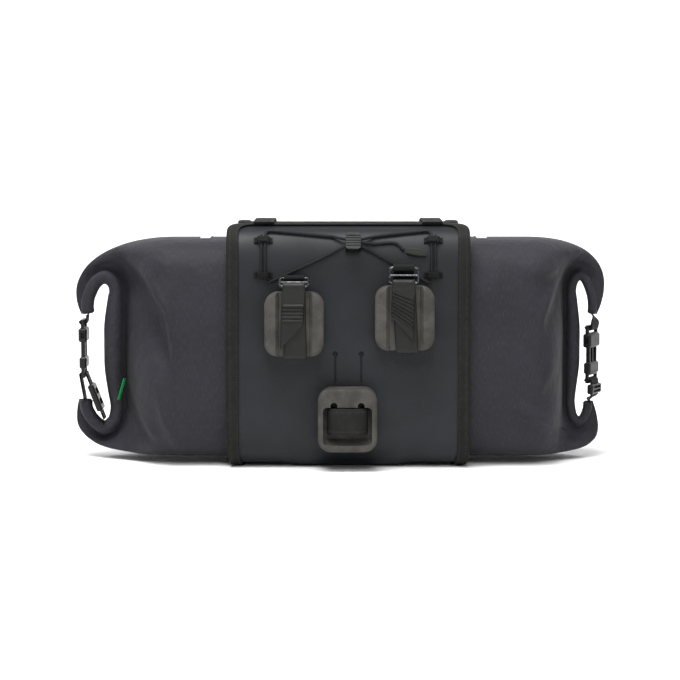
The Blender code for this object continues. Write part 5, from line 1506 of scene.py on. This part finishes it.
@dataclass
class Lacing:
    """The elastic cord laced over the panel, its guides, its lock, its free end and its pull tab."""

    lock_x: float = 0.0045
    lock_z: float = 0.2030
    strand: float = 0.0034
    gap: float = 0.0036
    lock_half_length: float = 0.0070
    lock_half_height: float = 0.0080
    lock_depth: float = 0.0095
    lock_stand: float = 0.0009
    cord_rise: float = 0.0028
    tab_x: float = 0.0525
    tab_z: float = 0.1975
    hole_room: float = 0.0023
    hole_past: float = 0.02
    grooves: tuple[float, ...] = (-0.0048, -0.0024, 0.0, 0.0024, 0.0048)
    groove_half_width: float = 0.0004
    groove_depth: float = 0.0007
    guide_half_height: float = 0.00275
    guide_wall: float = 0.0013

    def over_panel(self, stops: Sequence[tuple[float, float, float]]) -> Array:
        """A route over the harness: X, share and rise run evenly between the stops."""
        table = np.array([(x, float(BODY.share_at(z)), rise) for x, z, rise in stops])
        even = np.linspace(0, 1, 12, endpoint=False)[:, None]
        parts = [a + (b - a) * even for a, b in zip(table, table[1:])]
        table = np.vstack([*parts, table[-1:]])
        return BODY.point(table[:, 0], table[:, 1], CORD_LIFT + table[:, 2])

    @cached_property
    def lock_frame(self) -> tuple[Array, Array]:
        """Where the lock stands and its directions across, up the panel and out."""
        share = float(BODY.share_at(self.lock_z))
        outward = BODY.normal(share)
        axes = np.array([(1.0, 0.0, 0.0), np.cross(outward, (1.0, 0.0, 0.0)), outward])
        return BODY.point(self.lock_x, share, 0.0), axes

    def in_lock(self, *places: tuple[float, float]) -> Array:
        """Points on the cords' plane through the lock."""
        origin, axes = self.lock_frame
        flat = np.array([(a, b, CORD_LIFT + self.cord_rise) for a, b in places])
        return origin + flat @ axes

    def guide_turn(self, side: int, z: float, sign: int) -> list[tuple[float, float, float]]:
        """Stops where the cord turns towards the middle beyond one guide."""
        x = side * (GUIDE_X - self.gap / 2)
        return [(x, z + sign * 0.0040, 0.0), (x - side * 0.0010, z + sign * 0.0060, 0.0),
                (x - side * 0.0034, z + sign * 0.0066, 0.0)]

    def rod(self, name: str, path: Array) -> bpy.types.Object:
        """A braided cord along a route whose corners are rounded by a running mean."""
        path = resample(path, 0.0007)
        soft = np.ones(5) / 5
        inner = np.stack([np.convolve(path[:, k], soft, "valid") for k in range(3)], -1)
        path = np.vstack([path[:1], inner, path[-1:]])
        return tube(name, path, CORD_RADIUS, BODY.normal(float(BODY.share_at(0.20))), sides=10)

    def tail(self) -> None:
        """The cord's free end, out of the lock and over the panel, and the tab that it ends in."""
        stops = [(self.lock_x + self.lock_half_length + 0.0120, self.lock_z, 0.0004),
                 (0.0420, self.lock_z + 0.0006, 0.0), (self.tab_x - 0.0022, self.tab_z + 0.0004, 0.0)]
        knots = [*self.in_lock((self.lock_half_length - 0.0030, 0.0), (self.lock_half_length + 0.0020, 0.0)),
                 *(BODY.point(x, BODY.share_at(z), CORD_LIFT + rise) for x, z, rise in stops)]
        path = resample(spline(knots, 12), 0.0014)
        cord = tube("cord_tail_braid", path, CORD_RADIUS, BODY.normal(float(BODY.share_at(0.20))), sides=12)
        settle(cord, ELASTIC.material(), Slot.ELASTIC, "cord_tail")
        tab = self.pull_tab()

    def pull_tab(self) -> bpy.types.Object:
        """A moulded tab, narrowed at both ends, with three grip ribs across it."""
        share = float(BODY.share_at(self.tab_z))
        outward = BODY.normal(share)
        lean = math.radians(-8)
        up = np.cross(outward, (1.0, 0.0, 0.0))
        across = np.array([math.cos(lean), 0.0, 0.0]) + up * math.sin(lean)
        middle = BODY.point(self.tab_x, share, HARNESS_LIFT + TOUCH + 0.0003 + 0.0013)
        s = np.linspace(0.0002, 0.0185, 60)
        path = middle + s[:, None] * across
        half = 0.0038 * (0.62 + 0.38 * np.sin(np.pi * np.clip((s - 0.0002) / 0.0183, 0.02, 0.98)) ** 0.5)
        ribs = 0.0004 * np.clip(np.sin(2 * np.pi * s / 0.0030), 0, 1) * (s > 0.006)
        made = ribbon("pull_tab_grip", path, np.cross(across, outward)[None] * half[:, None], 0.0022,
                      edge=0.0008, relief=ribs)
        return settle(made, RUBBER.material(), Slot.RUBBER, "pull_tab")

    def lock(self) -> bpy.types.Object:
        """A small barrel lock: a rounded body with a hole for the cords and a ribbed plunger on top."""
        origin, axes = self.lock_frame
        base = HARNESS_LIFT + self.lock_stand
        long, high = self.lock_half_length, self.lock_half_height
        body = turned_box("barrel_lock", origin, axes, (-long, -high, base),
                          (long, high, base + self.lock_depth), 0.0030)
        wide, height = self.strand + self.hole_room, CORD_LIFT + self.cord_rise
        hole = turned_box("hole", origin, axes, (-self.hole_past, -wide, height - self.hole_room),
                          (self.hole_past, wide, height + self.hole_room))
        combine(body, hole, "DIFFERENCE")
        crown = base + self.lock_depth
        for middle in self.grooves:
            groove = turned_box("groove", origin, axes,
                                (-self.hole_past, middle - self.groove_half_width, crown - self.groove_depth),
                                (self.hole_past, middle + self.groove_half_width, crown + 0.002))
            combine(body, groove, "DIFFERENCE")
        return round_edges(crease(body, 35), 0.0006, 3)

    def guide(self, name: str, x: float, z: float) -> bpy.types.Object:
        """A webbing loop sewn down at both sides, with a tunnel for the cords."""
        low = HARNESS_LIFT + TOUCH + WEBBING_WALL / 2
        high = HARNESS_LIFT + 2 * TOUCH + 2 * CORD_RADIUS + 0.0004 + WEBBING_WALL / 2
        half = [(0.0085, low), (0.0058, low), (0.0050, high - 0.0006), (0.0036, high)]
        line = resample(np.array([(-a, b) for a, b in half] + half[::-1]), 0.0005)
        share = float(BODY.share_at(z))
        down = np.cross((1.0, 0.0, 0.0), BODY.normal(share))
        path = BODY.point(x + line[:, 0], share, line[:, 1])
        return ribbon(name, path, down * self.guide_half_height, self.guide_wall, edge=0.0005)

    def dress(self) -> None:
        """Builds the lacing, the free end first."""
        self.tail()
        braid, webbing = ELASTIC.material(), WEBBING.material()
        for end in End:
            side, x = end.name.lower(), end.value * GUIDE_X
            for level, z in (("upper", UPPER_GUIDE_Z), ("lower", LOWER_GUIDE_Z)):
                settle(self.guide(f"guide_{level}_{side}", x, z), webbing, Slot.WEBBING,
                       f"cord_guide_{level}_{side}")
            strand = end.value * (GUIDE_X + self.gap / 2)
            route = self.over_panel([(strand, UPPER_GUIDE_Z + 0.0036, 0.0),
                                     (strand, LOWER_GUIDE_Z - 0.0036, 0.0)])
            settle(self.rod(f"second_strand_{side}", route), braid, Slot.ELASTIC, f"hanger_cord_{side}")
        near, far = self.lock_half_length + 0.0010, self.lock_half_length + 0.0120
        low, high = self.lock_z - self.strand - 0.0040, self.lock_z + self.strand + 0.0020
        left = [(self.lock_x - far, low, 0.0), *self.guide_turn(-1, LOWER_GUIDE_Z, -1)[::-1],
                *self.guide_turn(-1, UPPER_GUIDE_Z, 1), (self.lock_x - far, high, 0.0)]
        right = [(self.lock_x + far, high, 0.0), *self.guide_turn(1, UPPER_GUIDE_Z, 1)[::-1],
                 *self.guide_turn(1, LOWER_GUIDE_Z, -1), (self.lock_x + far, low, 0.0)]
        route = np.vstack([self.in_lock((-0.0020, -self.strand), (-near, -self.strand)),
                           self.over_panel(left), self.in_lock((-near, self.strand), (near, self.strand)),
                           self.over_panel(right), self.in_lock((near, -self.strand),
                                                                (0.0020, -self.strand))])
        settle(self.rod("laced_elastic", route), braid, Slot.ELASTIC, "bungee_cord")
        settle(self.lock(), ACETAL.material(), Slot.PLASTIC, "cord_lock")


def carried_over(node: str, name: str, rounding: float) -> bpy.types.Object:
    """A copy of a CAD node's shape with its loose triangles merged and its edges rounded.

    Args:
        node: the CAD node.
        name: the new piece's name.
        rounding: how far its sharp edges are rounded.

    Returns:
        The copy.
    """
    shape = bmesh.new()
    shape.from_mesh(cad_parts[node].data)
    bmesh.ops.remove_doubles(shape, verts=shape.verts, dist=1e-5)
    bmesh.ops.dissolve_limit(shape, angle_limit=math.radians(1), verts=shape.verts, edges=shape.edges)
    mesh = bpy.data.meshes.new(name)
    shape.to_mesh(mesh)
    shape.free()
    made = bpy.data.objects.new(name, mesh)
    bpy.context.scene.collection.objects.link(made)
    return round_edges(crease(made, 35), rounding, 2, 32)


@dataclass
class EndBuckle:
    """The side-release buckle that holds one rolled end bent, its webbing and its strap adjuster."""

    rolled: RolledEnd
    top: tuple[float, float, float]
    turn: float
    outer: int
    leg_end: tuple[float, float, float] | None
    wrap_radius: float = 0.0032
    foot: float = 0.0545
    bar: float = 0.0030

    @cached_property
    def axes(self) -> Array:
        """Directions across the buckle, down it and through it."""
        across = np.array([math.cos(math.radians(self.turn)), math.sin(math.radians(self.turn)), 0.0])
        down = np.array([0.0, 0.0, -1.0])
        return np.array([across, down, np.cross(down, across)])

    def at(self, across: float, down: float, through: float) -> Array:
        """A point in the buckle's frame."""
        return np.asarray(self.top) + np.array([across, down, through]) @ self.axes

    def wrap(self, bar_down: float, sign: int, side: int) -> Array:
        """Webbing round a bar: radius (sin a) down and (cos a) through."""
        a = np.linspace(0, np.pi, 9)
        return np.array([self.at(0, bar_down + sign * self.wrap_radius * s, side * self.wrap_radius * c)
                         for s, c in zip(np.sin(a), np.cos(a))])

    def tip(self, upper: bool, *beyond: float) -> Array:
        """Points in the middle of a rolled arm's end, this far beyond it."""
        sign = 1 if upper else -1
        radius = self.rolled.roll_radius * (1 - self.rolled.shrink)
        length = self.rolled.spine[2] if upper else self.rolled.spine[3]
        spot, up, inward = self.rolled.directions(np.array([sign * length]))
        flat = spot + inward * radius + up * sign * np.array(beyond)[:, None]
        return np.column_stack([flat[:, 0], np.full(len(beyond), -radius), flat[:, 1]])

    def webbing(self, name: str, tip: Array, wrap: Array) -> bpy.types.Object:
        """Webbing from an arm's end round a bar, turning evenly from across the arm to across the bar."""
        half = WEBBING_WIDTH / 2
        widths = np.vstack([np.tile((0.0, half, 0.0), (len(tip), 1)),
                            np.tile(self.axes[0] * half, (len(wrap), 1))])
        both = resample(spline(np.hstack([np.vstack([tip, wrap]), widths]), 8), 0.0007)
        return ribbon(name, both[:, :3], unit(both[:, 3:]) * half, WEBBING_WALL)

    def dress(self) -> None:
        """Builds the webbing, and carries the buckle's halves and the adjuster over with rounded edges."""
        side = self.rolled.end.name.lower()
        webbing, acetal = WEBBING.material(), ACETAL.material()
        upper_wrap = self.wrap(self.bar / 2, 1, 1)
        upper_tip = self.tip(True, 0.0007, 0.0021)
        if self.axes[0][0] > 0.1:
            upper_tip = upper_tip[:1]
            upper_wrap = np.vstack([self.at(0, -0.0030, self.wrap_radius), upper_wrap])
        lower_wrap = self.wrap(self.foot - self.bar / 2, -1, self.outer)
        if self.leg_end is None:
            lower_wrap = np.vstack([self.at(0, self.foot + 0.0112, self.outer * self.wrap_radius),
                                    lower_wrap])
        else:
            lower_wrap = np.vstack([lower_wrap, self.leg_end])
        settle(self.webbing(f"upper_webbing_{side}", upper_tip, upper_wrap), webbing, Slot.WEBBING,
               f"webbing_upper_{side}")
        settle(self.webbing(f"lower_webbing_{side}", self.tip(False, 0.0007, 0.0021), lower_wrap), webbing,
               Slot.WEBBING, f"webbing_lower_{side}")
        for node, name, rounding in (("buckle_female", "buckle_socket", 0.0006),
                                     ("buckle_male", "buckle_prongs", 0.0004),
                                     ("adjuster", "strap_slider", 0.0005)):
            made = carried_over(f"{node}_{side}", f"{name}_{side}", rounding)
            settle(made, acetal, Slot.PLASTIC, f"{node}_{side}")


PATCH_HALF_WIDTH = 0.00475
PATCH_WALL = 0.0008


def trim() -> None:
    """The two reflective strips on top and the green tab beside the left roll."""
    for end, x in ((End.LEFT, -0.1320), (End.RIGHT, 0.1236)):
        side = end.name.lower()
        distances = np.linspace(CLOSED.length - 0.022, CLOSED.length + 0.030, 60)
        made = wrapped_band(f"film_strip_{side}", CLOSED, x, distances, PATCH_HALF_WIDTH, TOUCH, PATCH_WALL)
        settle(made, REFLECTIVE.material(), Slot.REFLECTIVE, f"reflective_patch_{side}")
    settle(carried_over("seam_tab_green", "green_tab", 0.0003), GREEN.material(), Slot.GREEN,
           "seam_tab_green")


@dataclass
class Studio:
    """A plain pale floor that curves up behind, soft lights and the camera at the photograph's angle."""

    target: tuple[float, float, float] = (-0.0075, 0.0, 0.1105)
    distance: float = 2.3
    elevation: float = 5.0
    focal_mm: float = 129.5

    def floor(self) -> None:
        """A sheet of paper: flat, then a quarter circle, then upright."""
        radius, back, near, height = 0.8, 2.4, -3.4, 2.2
        turn = np.linspace(0, np.pi / 2, 24)
        curve = np.column_stack([back + radius * np.sin(turn), radius * (1 - np.cos(turn))])
        line = np.vstack([[(near, 0.0)], curve, [(back + radius, height)]])
        x = np.array([-4.0, 0.0, 4.0])
        points = np.stack(np.broadcast_arrays(x[None], line[:, :1], line[:, 1:]), -1)
        paper = grid_surface("studio_paper", points)
        look = bpy.data.materials.new("matt_white_paper")
        look.use_nodes = True
        shader = look.node_tree.nodes["Principled BSDF"]
        shader.inputs["Base Color"].default_value = linear_colour("f7f7f7")
        shader.inputs["Roughness"].default_value = 0.9
        paper.data.materials.append(look)

    def light(self, name: str, place: tuple[float, float, float], size: float, power: float,
              aim: tuple[float, float, float] | None = None) -> None:
        """A square area light that looks at the bag, or at another place."""
        lamp = bpy.data.lights.new(name, "AREA")
        lamp.size, lamp.energy = size, power
        obj = bpy.data.objects.new(name, lamp)
        obj.location = place
        obj.rotation_euler = (Vector(aim or self.target) - Vector(place)).to_track_quat("-Z", "Y").to_euler()
        bpy.context.scene.collection.objects.link(obj)

    def camera(self) -> None:
        """The camera, at its distance and elevation in front of the bag's back."""
        lens = bpy.data.cameras.new("photograph_view")
        lens.lens, lens.sensor_width = self.focal_mm, 36.0
        lens.clip_end = 30.0
        eye = bpy.data.objects.new("photograph_view", lens)
        rise = math.radians(self.elevation)
        offset = Vector((0.0, -math.cos(rise), math.sin(rise))) * self.distance
        eye.location = Vector(self.target) + offset
        eye.rotation_euler = (-offset).to_track_quat("-Z", "Y").to_euler()
        bpy.context.scene.collection.objects.link(eye)
        bpy.context.scene.camera = eye

    def build(self) -> None:
        """Sets the camera, the floor, the lights and the pale surroundings."""
        self.camera()
        self.floor()
        world = bpy.data.worlds.new("pale_room")
        world.use_nodes = True
        background = world.node_tree.nodes["Background"]
        background.inputs["Color"].default_value = linear_colour("ffffff")
        background.inputs["Strength"].default_value = 0.26
        bpy.context.scene.world = world
        self.light("top_softbox", (-0.3, -0.7, 2.2), 1.2, 64.0)
        self.light("front_high", (0.1, -2.3, 1.9), 0.8, 26.0)
        self.light("front_low", (0.5, -2.6, 0.5), 0.8, 3.0)
        self.light("paper_wash_left", (-1.6, 0.9, 2.1), 1.2, 60.0, (-0.5, 3.2, 0.5))
        self.light("paper_wash_right", (1.6, 0.9, 2.1), 1.2, 60.0, (0.5, 3.2, 0.5))
        bpy.context.scene.view_settings.view_transform = "Standard"


def main() -> None:
    """Builds the studio and every piece of the bag in order."""
    logging.basicConfig(level=logging.INFO, format="%(name)s: %(message)s")
    Studio().build()
    Lacing().dress()
    BagShell().dress()
    Harness().dress()
    BLOCKS.dress()
    HandlebarStrap(End.LEFT, BLOCKS.left, 0.1715, 0.1224, (0.0010, 0.0, -0.0022), 0.0162, (0.0, 0.0, -0.0109),
                   0.0, 62).dress()
    HandlebarStrap(End.RIGHT, BLOCKS.right, 0.1745, 0.1299, (0.0022, -0.0010, -0.0022), 0.0092,
                   (0.0034, 0.0080, 0.0113), -0.0010, 8).dress()
    head_tube_strap()
    EndBuckle(LEFT_END, (-0.2475, -0.0063, 0.1310), 90, -1, (-0.2285, -0.0063, 0.0372)).dress()
    EndBuckle(RIGHT_END, (0.2285, -0.0040, 0.1255), 65, 1, None).dress()
    trim()


if __name__ == "__main__":
    main()
